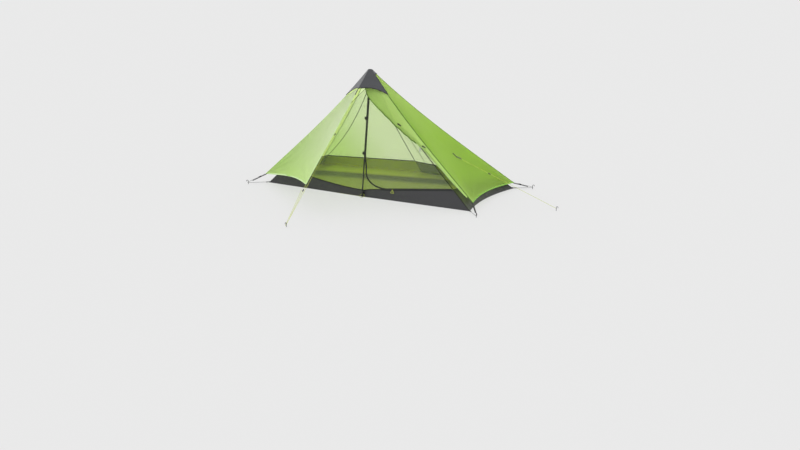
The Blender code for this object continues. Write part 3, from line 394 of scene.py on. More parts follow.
def cloth_piece(name, columns, rows, spot, outward, materials, thickness, size, waves=()):
    """A sheet of cloth: a grid whose points go where spot(u, v) says, waved along its own
    normal, then given its thickness. Its UV map is in metres of cloth. A second material
    is its inner face."""
    bpy.ops.object.select_all(action="DESELECT")
    bpy.ops.mesh.primitive_grid_add(x_subdivisions=columns, y_subdivisions=rows, size=1)
    piece = bpy.context.object
    piece.name = piece.data.name = name
    mesh = piece.data
    shares = [(vertex.co.x + 0.5, vertex.co.y + 0.5) for vertex in mesh.vertices]
    for vertex, (u, v) in zip(mesh.vertices, shares):
        vertex.co = spot(u, v)
    mesh.update()
    middle = sum((face.normal * face.area for face in mesh.polygons), Vector())
    if middle.dot(outward) < 0:
        mesh.flip_normals()
        mesh.update()
    moved = []
    for vertex, (u, v) in zip(mesh.vertices, shares):
        moved.append(vertex.co + vertex.normal * sum(wave(u, v, vertex.co) for wave in waves))
    for vertex, place in zip(mesh.vertices, moved):
        vertex.co = place
    uv = mesh.uv_layers[0].data
    for loop in mesh.loops:
        u, v = shares[loop.vertex_index]
        uv[loop.index].uv = (u * size[0], v * size[1])
    for material in materials:
        mesh.materials.append(material)
    sides = {"material_offset": len(materials) - 1, "material_offset_rim": 0}
    apply_modifier(piece, "SOLIDIFY", thickness=thickness, offset=0, **sides)
    bpy.ops.object.shade_smooth_by_angle(angle=CLOTH_SMOOTH)
    return piece


def fading(tree, place, axis, stops):
    """Colours that change along an axis; the script paints light and shade into its cloth with
    them. Each stop has its place in metres, the colour of the cloth there and the colour of the
    light that comes through it."""
    start, end = stops[0][0], stops[-1][0]
    reach = node(tree, "VectorMath", {0: place, 1: axis}, "Value", operation="DOT_PRODUCT")
    along = node(tree, "MapRange", {"Value": reach, "From Min": start, "From Max": end})
    for column in (1, 2):
        colour = node(tree, "ValToRGB", {"Fac": along})
        elements = colour.node.color_ramp.elements
        while len(elements) < len(stops):
            elements.new(0.5)
        for element, stop in zip(elements, stops):
            element.position = (stop[0] - start) / (end - start)
            element.color = linear(stop[column])
        yield colour


def coated_nylon(name, code, shade, shine, through=None, share=0.0, weave_mm=6.0, fade=None):
    """Ripstop nylon with a silicone or urethane coating: smooth and faintly shiny, with a thin
    raised grid of thicker threads, and a share of light that comes through where it is thin.
    A fade (axis, stops) takes the place of the colours and paints light and shade along the axis."""
    material, tree = start_material(name)
    place, flat = (node(tree, "TexCoord", out=kind) for kind in ("Object", "UV"))
    if fade:
        tone, inside = fading(tree, place, *fade)
    else:
        broad = node(tree, "TexNoise", {"Vector": place, "Scale": 3.2, "Detail": 2.0}, "Fac")
        tone = mixed(tree, broad, shade, code)
        inside = through
    bricks = {"Vector": flat, "Scale": 1000 / weave_mm, "Brick Width": 1.0, "Row Height": 1.0}
    bricks |= {"Mortar Size": 0.10, "Mortar Smooth": 0.6, "Mortar": WHITE}
    bricks |= {"Color1": (0, 0, 0, 1), "Color2": (0, 0, 0, 1)}
    grid = node(tree, "TexBrick", bricks, "Fac", offset=0.0, squash=1.0)
    lines = node(tree, "Math", {0: grid, 1: 0.12}, operation="MULTIPLY")
    raised = mixed(tree, lines, tone, WHITE, blend_type="SOFT_LIGHT")
    wrinkles = {"Vector": place, "Scale": 42.0, "Detail": 3.0, "Roughness": 0.6}
    crinkle = node(tree, "TexNoise", wrinkles, "Fac")
    height = node(tree, "Math", {0: grid, 1: crinkle}, operation="ADD")
    rise = node(tree, "Bump", {"Height": height, "Strength": 0.22, "Distance": 0.0012})
    gloss = {"Value": crinkle, "To Min": shine - 0.06, "To Max": shine + 0.08}
    looks = {"Base Color": raised, "Roughness": node(tree, "MapRange", gloss), "Normal": rise}
    looks |= {"Sheen Weight": 0.12, "Sheen Roughness": 0.5, "Specular IOR Level": 0.42}
    surface = node(tree, "BsdfPrincipled", looks)
    if share:
        glow = node(tree, "BsdfTranslucent", {"Color": inside, "Normal": rise})
        surface = node(tree, "MixShader", {0: share, 1: surface, 2: glow})
    node(tree, "OutputMaterial", {"Surface": surface})
    return material


tub_cloth = coated_nylon("dark_grey_coated_nylon", TUB_OUTSIDE, "#303033", 0.5)
# The end walls' outside is a darker copy of the tub cloth: painted shade, where the fly shades
# them.
shaded_end_cloth = coated_nylon("dark_grey_end_wall_nylon_painted_shade", "#2A2A2E", "#222225", 0.5)
# The lining's bright lime colour is painted light, for the green light that falls into the tub.
tub_lining = coated_nylon("olive_tub_lining_painted_light", "#F2FC28", "#E4EE1E", 0.5, "#E0F080", 0.35)
# The end walls' linings and the back right wall's are darker copies of the lining: painted shade.
shaded_end_lining = coated_nylon("olive_end_wall_lining", "#8E9C2A", "#7E8C20", 0.5)
shaded_right_lining = coated_nylon("dark_olive_end_wall_lining", "#4A5620", "#404C1A", 0.5)
shaded_lining = coated_nylon("shaded_tub_lining", "#8A9630", "#7C8826", 0.5)
stops = [(y, code, code) for y, code in FLOOR_LIGHT_AND_SHADE_TONES]
floor_lining = coated_nylon("olive_floor_lining_painted_light_and_shade", None, None, 0.5, fade=(FLOOR_AXIS, stops))
# The taped seam is lime like the lining and carries the same painted light.
seam_strip = coated_nylon("olive_taped_seam", "#E8F04C", "#DCE440", 0.6, weave_mm=2.0)
black_tape = coated_nylon("black_grosgrain_tape", "#1C1C1D", "#141415", 0.65, weave_mm=2.0)


def inner_point(corner, height):
    return corner.lerp(INNER_PEAK, height / INNER_PEAK.z)


def corner_x(z):
    """How far out the front corner seam is at this height."""
    return FLOOR_HALF_LENGTH * (1 - z / INNER_PEAK.z)


def front_point(x, z, side=0):
    """A point of the inner's front, which folds back on both sides of the pole."""
    corner = FLOOR_FRONT[side or (1 if x >= 0 else -1)]
    normal = (corner - FLOOR_POLE).cross(INNER_PEAK - FLOOR_POLE)
    y = FLOOR_POLE.y - (normal.x * (x - FLOOR_POLE.x) + normal.z * (z - FLOOR_POLE.z)) / normal.y
    return Vector((x, y, z))


def ribbon(
    name, spots, outward, width, height, material, slot="black_plastic", *nodes,
    body="tent", base=0.3, closed=False, upright=False,
):
    """A narrow raised band along the spots: a tape, hem, binding or strap. Outward is the way it
    faces, one for all or a list; an upright band stands on its edge. Base is how deep it is sunk,
    as a share of its height."""
    profile = ((-0.5, -base), (-0.5, 0.4), (-0.375, 1.0), (0.375, 1.0), (0.5, 0.4), (0.5, -base))
    rings = []
    for i, (spot, run, way) in enumerate(along(spots)):
        across = way.cross(outward[i] if isinstance(outward, list) else outward).normalized()
        lift = across.cross(way).normalized()
        if upright:
            across, lift = lift, across
        rings.append((run, [spot + across * x * width + lift * z * height for x, z in profile]))
    piece = swept_piece(name, rings, RIBBON_TURN, closed)
    piece.data.materials.append(material)
    bpy.context.view_layer.objects.active = piece
    bpy.ops.object.select_all(action="DESELECT")
    piece.select_set(True)
    bpy.ops.object.shade_smooth_by_angle(angle=RIBBON_SMOOTH)
    finish_piece(piece, body, slot, *nodes)


def end_edge(side, share):
    """A point of the groundsheet's end edge, which is cut hollow so that it pulls taut."""
    place = FLOOR_FRONT[side].lerp(FLOOR_REAR[side], share)
    return place - Vector((side * FLOOR_END_HOLLOW * 4 * share * (1 - share), 0, 0))


def floor_spot(u, v):
    place = end_edge(-1, v).lerp(end_edge(1, v), u)
    peak = 1 - abs(2 * u - 1)
    place.y += peak * ((FLOOR_POLE_Y - FLOOR_FRONT_Y) * (1 - v) + (FLOOR_BACK_Y - FLOOR_REAR_Y) * v)
    place.x *= FLOOR_SHRINK
    place.y *= FLOOR_SHRINK
    edge = min(1.0, 12 * min(u, 1 - u, v, 1 - v))
    return place + UP * (FLOOR_LIFT + edge * (FLOOR_PUFF + ripple(place, 0.10, 0.0020, 3)))


linings = [tub_cloth, floor_lining]
piece = cloth_piece("groundsheet_cloth", 150, 80, floor_spot, -UP, linings, CLOTH, (2.35, 1.1))
finish_piece(piece, "tent", "dark_grey_fabric", "groundsheet")


def wall_waves(u, v, spot):
    """Slack folds that run up the wall, strongest near the ground."""
    edge = min(1.0, 10 * min(u, 1 - u)) * min(1.0, 4 * min(v, 1 - v))
    return edge * (ripple(spot, 0.045, 0.0026, 5) + ripple(Vector((u * 9, 0, v)), 0.6, 0.0020, 8))


def wall_spot(first, second, hollow=0.0):
    """A wall between two corners, given with their heights; its foot may be cut hollow."""

    def spot(u, v):
        (corner_a, high_a), (corner_b, high_b) = first, second
        low = inner_point(corner_a, TUB_BASE).lerp(inner_point(corner_b, TUB_BASE), u)
        place = low.lerp(inner_point(corner_a, high_a).lerp(inner_point(corner_b, high_b), u), v)
        place.x -= hollow * 4 * u * (1 - u) * (1 - v)
        return place

    return spot


ZIP_X = 0.014
ZIP_TOP_X = -0.012
ZIP_TOP_Z = 1.020
ZIP_STRAIGHT_X = -0.009
ZIP_STRAIGHT_Z = 0.430
ZIP_BEND_TOP_Z = 0.270
ZIP_BEND_END_X = 0.250
ZIP_BEND_END_Z = 0.104
ZIP_BEND_PARTS = 16
ZIP_HALF = 0.003
ZIP_TO_WALL = 0.0035
WALL_CURVE = 1.7


def zip_line_z(x):
    """Height of the zip's lower run, which climbs to the right-hand corner."""
    if x < ZIP_BEND_END_X:
        drop = ZIP_BEND_END_Z - TUB_POLE - 2 * ZIP_HALF
        return ZIP_BEND_END_Z - drop * (1 - x / ZIP_BEND_END_X) ** 2
    share = (x - ZIP_BEND_END_X) / (corner_x(TUB_CORNER) - ZIP_BEND_END_X)
    return ZIP_BEND_END_Z + (TUB_CORNER - ZIP_BEND_END_Z) * share


def front_wall_top(x):
    """Height of the front bathtub wall: lowest at the pole, highest at the corners."""
    if x < 0:
        share = min(1.0, -x / corner_x(TUB_CORNER))
        return TUB_POLE + (TUB_CORNER - TUB_POLE) * share**WALL_CURVE
    return zip_line_z(x) - ZIP_HALF - ZIP_TO_WALL


def front_wall_spot(u, v):
    side = 2 * u - 1
    low, high = side * corner_x(TUB_BASE), side * corner_x(TUB_CORNER)
    return front_point(low, TUB_BASE).lerp(front_point(high, front_wall_top(high)), v)


OUT_OF_FRONT = Vector((0, -1, 0.2))
OUT_OF_BACK = Vector((0, 1, 0.5))
walls = [("tub_wall_front", front_wall_spot, OUT_OF_FRONT, 200, (2.3, 0.15), 0.245)]
for side in (-1, 1):
    word = SIDE_WORD[side]
    rear = (FLOOR_REAR[side], TUB_REAR)
    end = wall_spot((FLOOR_FRONT[side], TUB_CORNER), rear, side * FLOOR_END_HOLLOW)
    back = wall_spot(rear, (FLOOR_BACK, TUB_BACK))
    walls.append((f"tub_wall_{word}", end, Vector((side, 0, 0.5)), 90, (1.03, 0.18), 0.16))
    walls.append((f"tub_wall_back_{word}", back, OUT_OF_BACK, 100, (1.19, 0.15), 0.165))
# The walls whose lining carries painted shade: both end walls and the back right wall.
SHADED_WALL_LININGS = {"tub_wall_left": shaded_end_lining, "tub_wall_right": shaded_right_lining}
SHADED_WALL_LININGS["tub_wall_back_right"] = shaded_lining
for name, spot, outward, columns, size, area in walls:
    # The end walls take the darker copy of the cloth, as painted shade.
    cloth = shaded_end_cloth if name in ("tub_wall_left", "tub_wall_right") else tub_cloth
    cloth = [cloth, SHADED_WALL_LININGS.get(name, tub_lining)]
    cut = (CLOTH, size, [wall_waves])
    piece = cloth_piece(name + "_cloth", columns, 16, spot, outward, cloth, *cut)
    finish_piece(piece, "tent", "dark_grey_fabric", name)
    out = outward.normalized()
    top = [spot(k / 60, 1) for k in range(61)]
    lift = out * FLOOR_SEAM_LIFT + UP * FLOOR_SEAM_HEIGHT
    foot = [spot(k / 60, 0) + lift for k in range(61)]
    inset = out * TAPED_SEAM_INSET
    inner = [spot(k / 60, TAPED_SEAM_SHARE) - inset for k in range(1, 60)]
    # On the right walls the taped seam takes the wall's painted-shade lining.
    strip = SHADED_WALL_LININGS[name] if name.endswith("right") else seam_strip
    binding = (BINDING_THICKNESS, BINDING_DEPTH, black_tape, "dark_grey_fabric")
    ribbon(name + "_binding", top, out, *binding, base=0.35, upright=True)
    for kind, line, way, width, cloth in (
        ("floor_seam", foot, out, FLOOR_SEAM, tub_cloth),
        ("taped_seam", inner, -out, TAPED_SEAM, strip),
    ):
        ribbon(f"{name}_{kind}", line, way, width, SEAM_DEPTH, cloth, "dark_grey_fabric")

# ---------------------------------------------------------------- Mesh inner
# Insect netting of fine grey polyester, cut in flat faces and seamed along the ridges with a
# narrow black tape. It hangs from the peak with a little slack, and what is behind it shows.
NETTING = 0.0006
NET_CELL_MM = 3.0
NET_THREAD = 0.18
NET_HOLE = 0.04
NET_TAPE = 0.009
NET_SLACK = 0.010
NET_PULL = {-1: 0.0, 1: 0.060}
REAR_SEAM_SAG = Vector((0.045, -0.015, -0.040))
RIGHT_SAG_SHARE = 0.3
SEAM_GAP = 0.004
ABOVE_WALL = 0.002
DOOR_FOOT_Z = 0.196
STRIP_SIZE = (0.2, 0.28)
STRIP_END_X = 0.2
ELASTIC_TAB = (
    (0.603, -0.4190, 0.552), (0.602, -0.4215, 0.538),
    (0.600, -0.4245, 0.524), (0.598, -0.4270, 0.510),
)


def insect_netting(name, code, shade):
    """Knitted netting: its holes are about 1 mm, drawn 3 mm so that they show close up."""
    material, tree = start_material(name)
    place, flat = (node(tree, "TexCoord", out=kind) for kind in ("Object", "UV"))
    cells = {"Vector": flat, "Scale": 1000 / NET_CELL_MM, "Randomness": 0.25}
    holes = node(tree, "TexVoronoi", cells, "Distance", feature="DISTANCE_TO_EDGE")
    span = {"Value": holes, "From Min": 0.05, "From Max": 0.16}
    thread = node(tree, "MapRange", span | {"To Min": NET_THREAD, "To Max": NET_HOLE})
    veil = node(tree, "TexNoise", {"Vector": place, "Scale": 5.0, "Detail": 1.0}, "Fac")
    tone = mixed(tree, veil, shade, code)
    looks = {"Base Color": tone, "Roughness": 0.75, "Sheen Weight": 0.2, "Alpha": thread}
    node(tree, "OutputMaterial", {"Surface": node(tree, "BsdfPrincipled", looks)})
    return material


netting = insect_netting("grey_insect_netting", "#AAB3A8", "#98A196")
grey_elastic = coated_nylon("grey_elastic_webbing", "#B9BDB8", "#8E928D", 0.8, weave_mm=1.6)


def slack(u, v, spot):
    """Netting hangs in a little between its seams."""
    hang = -NET_SLACK * 16 * u * (1 - u) * v * (1 - v)
    return hang + min(1, 8 * u, 8 * (1 - u)) * ripple(spot, 0.16, 0.002, 12)


def line_share(spots, share):
    """The point at this share of a broken line's whole length."""
    lengths = [(b - a).length for a, b in zip(spots, spots[1:])]
    left = share * sum(lengths)
    for a, b, length in zip(spots, spots[1:], lengths):
        if left <= length:
            return a.lerp(b, left / length)
        left -= length
    return spots[-1]


def offset_path(path, distance):
    """A flat path of (x, z) points moved sideways; positive is to the door's side."""
    made = []
    for i, (x, z) in enumerate(path):
        x0, z0 = path[max(i - 1, 0)]
        x1, z1 = path[min(i + 1, len(path) - 1)]
        length = math.hypot(x1 - x0, z1 - z0)
        made.append((x - (z1 - z0) / length * distance, z + (x1 - x0) / length * distance))
    return made


def zip_path():
    """The whole zip: straight down behind the pole, out past it, round the bend and along."""
    made = [(ZIP_TOP_X, ZIP_TOP_Z)]
    for k in range(8):
        share = k / 8
        x = ZIP_STRAIGHT_X + (ZIP_X - ZIP_STRAIGHT_X) * share * share * (3 - 2 * share)
        made.append((x, ZIP_STRAIGHT_Z + (ZIP_BEND_TOP_Z - ZIP_STRAIGHT_Z) * share))
    for i in range(ZIP_BEND_PARTS + 1):
        a = math.pi / 2 * i / ZIP_BEND_PARTS
        x = ZIP_X + (ZIP_BEND_END_X - ZIP_X) * (1 - math.cos(a)) ** 1.15
        z = ZIP_BEND_TOP_Z - (ZIP_BEND_TOP_Z - ZIP_BEND_END_Z) * math.sin(a)
        made.append((x, z))
    end_x = corner_x(TUB_CORNER) - 3 * SEAM_GAP
    return made + [(end_x, zip_line_z(end_x))]


def above_wall(x):
    """The point of the inner's front just above the bathtub wall."""
    return front_point(x, front_wall_top(x) + ABOVE_WALL)


mesh_top = INNER_PEAK.z * INNER_PEAK_OPEN
zip_clear = ZIP_HALF + 0.001
reach = corner_x(TUB_CORNER)
door_edge = [front_point(x, z, 1) for x, z in offset_path(zip_path(), zip_clear)]
door_hinge = [front_point(corner_x(z) - 0.0015, z) for z in (ZIP_TOP_Z, DOOR_FOOT_Z)]
fixed_edge = [spot for spot in offset_path(zip_path(), -zip_clear) if spot[0] < STRIP_END_X]
(x0, z0), (x1, z1) = next(pair for pair in zip(fixed_edge, fixed_edge[1:]) if pair[1][0] > 0)
fold_z = z0 + (z1 - z0) * x0 / (x0 - x1)
fixed_right = [front_point(0, fold_z)] + [front_point(x, z) for x, z in fixed_edge if x > 0]
fixed_middle = [front_point(0, fold_z)] + [above_wall(x) for x in (0, 0.05, 0.1, 0.15, 0.185)]


def fixed_x(z):
    """How far the fixed netting reaches past the fold, to the zip's left side."""
    for (x0, z0), (x1, z1) in zip(fixed_edge, fixed_edge[1:]):
        if z1 <= z <= z0:
            return min(0.0, x0 + (x1 - x0) * (z0 - z) / (z0 - z1))
    return fixed_edge[0][0] if z > ZIP_TOP_Z else 0.0


def ruled(first, second):
    return lambda u, v: line_share(first, 1 - v).lerp(line_share(second, 1 - v), u)


def seam_spot(seam, share):
    """A point of an inner seam between the tub and the peak. The rear ones hang in a curve."""
    corner, low, sag = seam
    low_z = low + ABOVE_WALL
    return inner_point(corner, low_z + (mesh_top - low_z) * share) + sag * 4 * share * (1 - share)


def net_between(first, second, pull=0.0):
    """The netting between two seams. The clip on the right side pulls its netting outwards."""

    def spot(u, v):
        out = pull * 8 * u * (1 - u) * math.sqrt(v * (1 - v))
        return seam_spot(first, v).lerp(seam_spot(second, v), u) + Vector((out, 0, 0))

    return spot


def left_fixed_spot(u, v):
    """The front netting left of the pole, between its sill and the peak."""
    high = front_point(-corner_x(mesh_top) * (1 - u), mesh_top)
    place = above_wall(-reach * (1 - u)).lerp(high, v)
    return front_point(place.x + u * fixed_x(place.z), place.z, -1)


SEAMS = {"back_middle": (FLOOR_BACK, TUB_BACK, Vector())}
nets = [
    ("mesh_front_fixed", left_fixed_spot, OUT_OF_FRONT, (1.0, 1.05), 0.55),
    ("mesh_door", ruled(door_edge, door_hinge), OUT_OF_FRONT, (1.2, 1.05), 0.60),
]
for side, share in ((-1, 1.0), (1, RIGHT_SAG_SHARE)):
    word = SIDE_WORD[side]
    sag = Vector((-side * REAR_SEAM_SAG.x, REAR_SEAM_SAG.y, REAR_SEAM_SAG.z)) * share
    front = SEAMS["front_" + word] = (FLOOR_FRONT[side], TUB_CORNER, Vector())
    rear = SEAMS["back_" + word] = (FLOOR_REAR[side], TUB_REAR, sag)
    end = net_between(front, rear, NET_PULL[side])
    back = net_between(rear, SEAMS["back_middle"])
    nets.append((f"mesh_{word}_end", end, Vector((side, 0, 0.5)), (0.9, 1.3), 0.62))
    nets.append((f"mesh_back_{word}", back, OUT_OF_BACK, (1.1, 1.3), 0.72))
for name, spot, outward, size, area in nets:
    piece = cloth_piece(name + "_netting", 60, 70, spot, outward, [netting], NETTING, size, [slack])
    finish_piece(piece, "mesh_door" if name == "mesh_door" else "tent", "inner_mesh", name)
name, spot = "mesh_front_strip_netting", ruled(fixed_middle, fixed_right)
piece = cloth_piece(name, 12, 80, spot, OUT_OF_FRONT, [netting], NETTING, STRIP_SIZE)
finish_piece(piece, "tent", "inner_mesh")

for word, seam in SEAMS.items():
    corner, low, sag = seam
    line = [seam_spot(seam, k / 40) for k in range(41)]
    if word.startswith("front"):
        line = [inner_point(corner, TUB_BASE + (low - TUB_BASE) * k / 8) for k in range(8)] + line
    out = Vector((corner.x, corner.y - 0.05, 0)).normalized() + UP * 0.5
    ribbon(f"inner_seam_{word}", line, out, NET_TAPE, 0.0014, black_tape, base=0.8)

# A grey elastic tab on the right front seam takes the clip that pulls the netting out.
line = [Vector(spot) for spot in ELASTIC_TAB]
ribbon("inner_elastic_tab", line, OUT_OF_FRONT, 0.014, 0.0018, grey_elastic)

# ---------------------------------------------------------------- Zip of the inner door
# A black nylon coil on its woven tapes. It runs straight down from the peak, bends by the pole
# and climbs along the tub wall to the right corner.
ZIP_TAPES = 0.016
ZIP_STEP = 0.02
COIL_RADIUS = 0.0021
COIL_PITCH = 0.006
COIL_DEPTH = 0.22


def coil(run, angle):
    return 1 + COIL_DEPTH * math.cos(2 * math.pi * run / COIL_PITCH)


black_nylon = coated_nylon("black_zip_nylon", "#161617", "#0E0E0F", 0.38, weave_mm=1.5)
path = zip_path()
route = []
for (x0, z0), (x1, z1) in zip(path, path[1:]):
    steps = max(1, int(math.hypot(x1 - x0, z1 - z0) / ZIP_STEP))
    for k in range(steps):
        route.append(front_point(x0 + (x1 - x0) * k / steps, z0 + (z1 - z0) * k / steps, 1))
route.append(front_point(*path[-1], 1))
front_normal = (FLOOR_FRONT[1] - FLOOR_POLE).cross(INNER_PEAK - FLOOR_POLE).normalized()
tapes = (ZIP_TAPES, 0.0009, black_nylon, "black_plastic", "zip_track")
ribbon("zip_tapes", route, front_normal, *tapes, base=0.9)
line = [spot + front_normal * 0.0010 for spot in route]
piece = tube_piece("zip_coil", line, COIL_RADIUS, coil, black_nylon, sides=8, step=0.002)
finish_piece(piece, "tent", "black_plastic")

# ---------------------------------------------------------------- Fly panels and the left door
# The outer tent: thin silicone nylon, bright green, light coming through it. Four fixed panels
# and the left door are cut between the ridges with hollow hems, so that the corners pull them
# taut. The cloth has small creases from packing and tension folds towards its corners.
FLY_PEAK = Vector((0, -0.360, 1.284))
FLY_FRONT = {side: Vector((side * 1.211, -0.492, 0.093)) for side in (-1, 1)}
FLY_REAR = {side: Vector((side * 1.175, 0.550, 0.062)) for side in (-1, 1)}
FLY_BACK = Vector((0, 0.820, 0.080))
FREE_CORNER = Vector((-0.077, -1.405, 0.312))
LEFT_RIDGE_SAG = 0.040
RIGHT_RIDGE_SAG = 0.045
REAR_RIDGE_SAG = 0.042
SAG_LEAN = 0.5
PANEL_BOW = 0.030
PANEL_EDGE = 0.0012
HEM_RISE = 0.052
HEM_LIFT = 0.004
HEM_WIDTH = 0.013
RIDGE_SEAM = 0.009
DOOR_EDGE = 0.6 * RIDGE_SEAM
RIDGE_LIFT = 0.0009
CAP_COLLAR = 0.042
CAP_REACH_LEFT = 0.214
CAP_REACH_FRONT = 0.186
CAP_REACH_RIGHT = 0.178
CAP_HOLLOW = 0.024
UNDER_CAP = 0.014
BELOW_CAP = 0.010
FAN_DEPTH = 0.0024
FAN_CENTRE = 0.10
FAN_REACH = 0.36
FAN_START = 0.06
FAN_LINES = 38
PUCKER_DEPTH = 0.0015
PUCKER_LENGTH = 0.052
PUCKER_REACH = 0.035
FLY_CLOTH = 0.0009
FLY_GREEN = ("#A8DC3C", "#9ED232")
# Painted light: the fly cloth and the light through it grow lighter and paler towards the peak.
FLY_PAINTED_LIGHT_TONES = ((0, 0, 1), ((0.60, "#A6DA3A", "#E0F29C"), (1.10, "#BCE06E", "#EAF4BC")))
# Painted light: the light through the back panels is dimmer and greener at the far left and whiter
# from the middle on.
BACK_PAINTED_LIGHT_TONES = (
    (1, 0, 0),
    ((-0.85, "#A6DA3A", "#C8E68C"), (-0.30, "#A6DA3A", "#EAF5CE"), (0.8, "#A6DA3A", "#E4F0C4")),
)
# Painted light: the left door and the light through it grow paler towards the top.
DOOR_PAINTED_LIGHT_TONES = (
    (0, 0, 1),
    ((0.25, "#C0E480", "#D2EE98"), (0.75, "#D8ECB0", "#F0F8E0"), (1.2, "#DDEFB8", "#F2F9E4")),
)
GLOW_SHARE = 0.74
INNER_SHARE = 0.92

FRONT_LEFT = (FLY_FRONT[-1], LEFT_RIDGE_SAG)
FRONT_RIGHT = (FLY_FRONT[1], RIGHT_RIDGE_SAG)
REAR_LEFT = (FLY_REAR[-1], REAR_RIDGE_SAG)
REAR_RIGHT = (FLY_REAR[1], REAR_RIDGE_SAG)
BACK_MIDDLE = (FLY_BACK, REAR_RIDGE_SAG)
DOOR_LINE = (FREE_CORNER, 0.0)


def fly_ridge(ridge, t):
    """A ridge from the peak to a corner, hanging a little below the straight line."""
    corner, sag = ridge
    lean = 1 + SAG_LEAN * (1 - 2 * t)
    return FLY_PEAK.lerp(corner, t) - UP * (4 * sag * t * (1 - t) * lean)


def fly_surface(first, second, u, t, bow=PANEL_BOW):
    """A point of a fly panel between two ridges, drawn in a little between them."""
    a, b = fly_ridge(first, t), fly_ridge(second, t)
    outward = (b - a).cross(FLY_PEAK - a.lerp(b, 0.5)).normalized()
    return a.lerp(b, u) - outward * (bow * 4 * u * (1 - u) * t * t)


def cap_edge(u, start, end):
    """Where the cap's lower edge lies between two ridges, hollowed between them."""
    return start + (end - start) * u - CAP_HOLLOW * 4 * u * (1 - u)


def hem_t(first, second, u):
    """How far down a panel its hollow hem lies, as a share of the ridges' length."""
    reach = (first[0] - FLY_PEAK).lerp(second[0] - FLY_PEAK, u).length
    return 1 - (HEM_RISE * 4 * u * (1 - u)) / reach


def panel_spot(first, second, top):
    def spot(share, v):
        t = top(share) + (hem_t(first, second, share) - top(share)) * (1 - v)
        edge = PANEL_EDGE / (fly_ridge(first, t) - fly_ridge(second, t)).length
        return fly_surface(first, second, edge + (1 - 2 * edge) * share, t)

    return spot


def fly_folds(first, second, seed):
    """Creases of a taut panel: fans that run out of both lower corners, short puckers along the
    ridge seams and a faint crumple from packing."""

    def fan(spot, corner):
        gap = (spot - corner).length
        angle = math.atan2(spot.z - corner.z, (spot - corner).to_2d().length)
        depth = FAN_DEPTH * math.exp(-(((gap - FAN_CENTRE) / FAN_REACH) ** 2))
        return depth * min(1.0, gap / FAN_START) * math.sin(angle * FAN_LINES + seed)

    def wave(u, v, spot):
        edge = min(1.0, 14 * min(u, 1 - u))
        near = PUCKER_DEPTH * math.exp(-min(u, 1 - u) / PUCKER_REACH)
        turn = (spot - FLY_PEAK).length * 2 * math.pi / PUCKER_LENGTH + 3 * noise.noise(spot * 6)
        crumple = ripple(spot, 0.11, 0.0028, seed) + ripple(spot, 0.35, 0.0050, seed + 4)
        return edge * (fan(spot, first[0]) + fan(spot, second[0]) + near * math.sin(turn) + crumple)

    return wave


def under_cap(share):
    return CAP_COLLAR - UNDER_CAP


def below_cap(share):
    return cap_edge(share, CAP_REACH_LEFT, CAP_REACH_FRONT) + BELOW_CAP


fly_cloth, back_cloth, door_cloth = (
    coated_nylon(name, None, None, shine, share=GLOW_SHARE, fade=tones)
    for name, shine, tones in (
        ("green_silicone_nylon", 0.40, FLY_PAINTED_LIGHT_TONES),
        ("green_silicone_nylon_back", 0.40, BACK_PAINTED_LIGHT_TONES),
        ("pale_green_silicone_nylon", 0.38, DOOR_PAINTED_LIGHT_TONES),
    )
)
fly_back = coated_nylon("green_nylon_underside", *FLY_GREEN, 0.40, "#F0FADF", INNER_SHARE)
# The back panels' underside lets through whiter light than the other panels: painted light.
back_back = coated_nylon("green_nylon_back_underside_painted_light", *FLY_GREEN, 0.40, "#F5FAE8", INNER_SHARE)
pale_green = ("#DDEFB8", "#D2E8A8")
door_back = coated_nylon("pale_green_nylon_underside", *pale_green, 0.38, "#F8FCF2", INNER_SHARE)
seam_cloth = coated_nylon("green_folded_seam", "#587F28", "#4A6F20", 0.85)
edge_tape = coated_nylon("green_edge_tape", "#7DB235", "#6DA12B", 0.80, weave_mm=2.0)
pale_tape = coated_nylon("pale_green_edge_tape", "#BCD898", "#AECD88", 0.80, weave_mm=2.0)

panels = [
    ("fly_right_end", FRONT_RIGHT, REAR_RIGHT, Vector((1, 0, 1)), 0.83),
    ("fly_left_end", REAR_LEFT, FRONT_LEFT, Vector((-1, 0, 1)), 0.83),
    ("fly_back_right", REAR_RIGHT, BACK_MIDDLE, Vector((0.2, 1, 1)), 0.98),
    ("fly_back_left", BACK_MIDDLE, REAR_LEFT, Vector((-0.2, 1, 1)), 0.98),
    ("fly_left_door", FRONT_LEFT, DOOR_LINE, Vector((-1, -1, 1)), 0.93),
]
for number, (name, first, second, outward, area) in enumerate(panels):
    body, slot, top, start, end = "tent", "fly_green", under_cap, 0, 61
    cloth, tape = [fly_cloth, fly_back], edge_tape
    if name == "fly_left_door":
        body, slot, top, start = name, "fly_pale_green", below_cap, 3
        cloth, tape = [door_cloth, door_back], pale_tape
    elif name == "fly_left_end":
        end = 58
    elif name.startswith("fly_back"):
        cloth = [back_cloth, back_back]
    spot, folds = panel_spot(first, second, top), fly_folds(first, second, 2.0 * number + 1)
    cut = (FLY_CLOTH, (1.3, 1.7), [folds])
    piece = cloth_piece(name + "_cloth", 96, 150, spot, outward, cloth, *cut)
    finish_piece(piece, body, slot, name)
    hem = []
    for k in range(start, end):
        hem.append(fly_surface(first, second, k / 60, hem_t(first, second, k / 60)) + UP * HEM_LIFT)
    ribbon(name + "_hem", hem, outward, HEM_WIDTH, 0.0012, tape, slot, body=body, base=0.9)

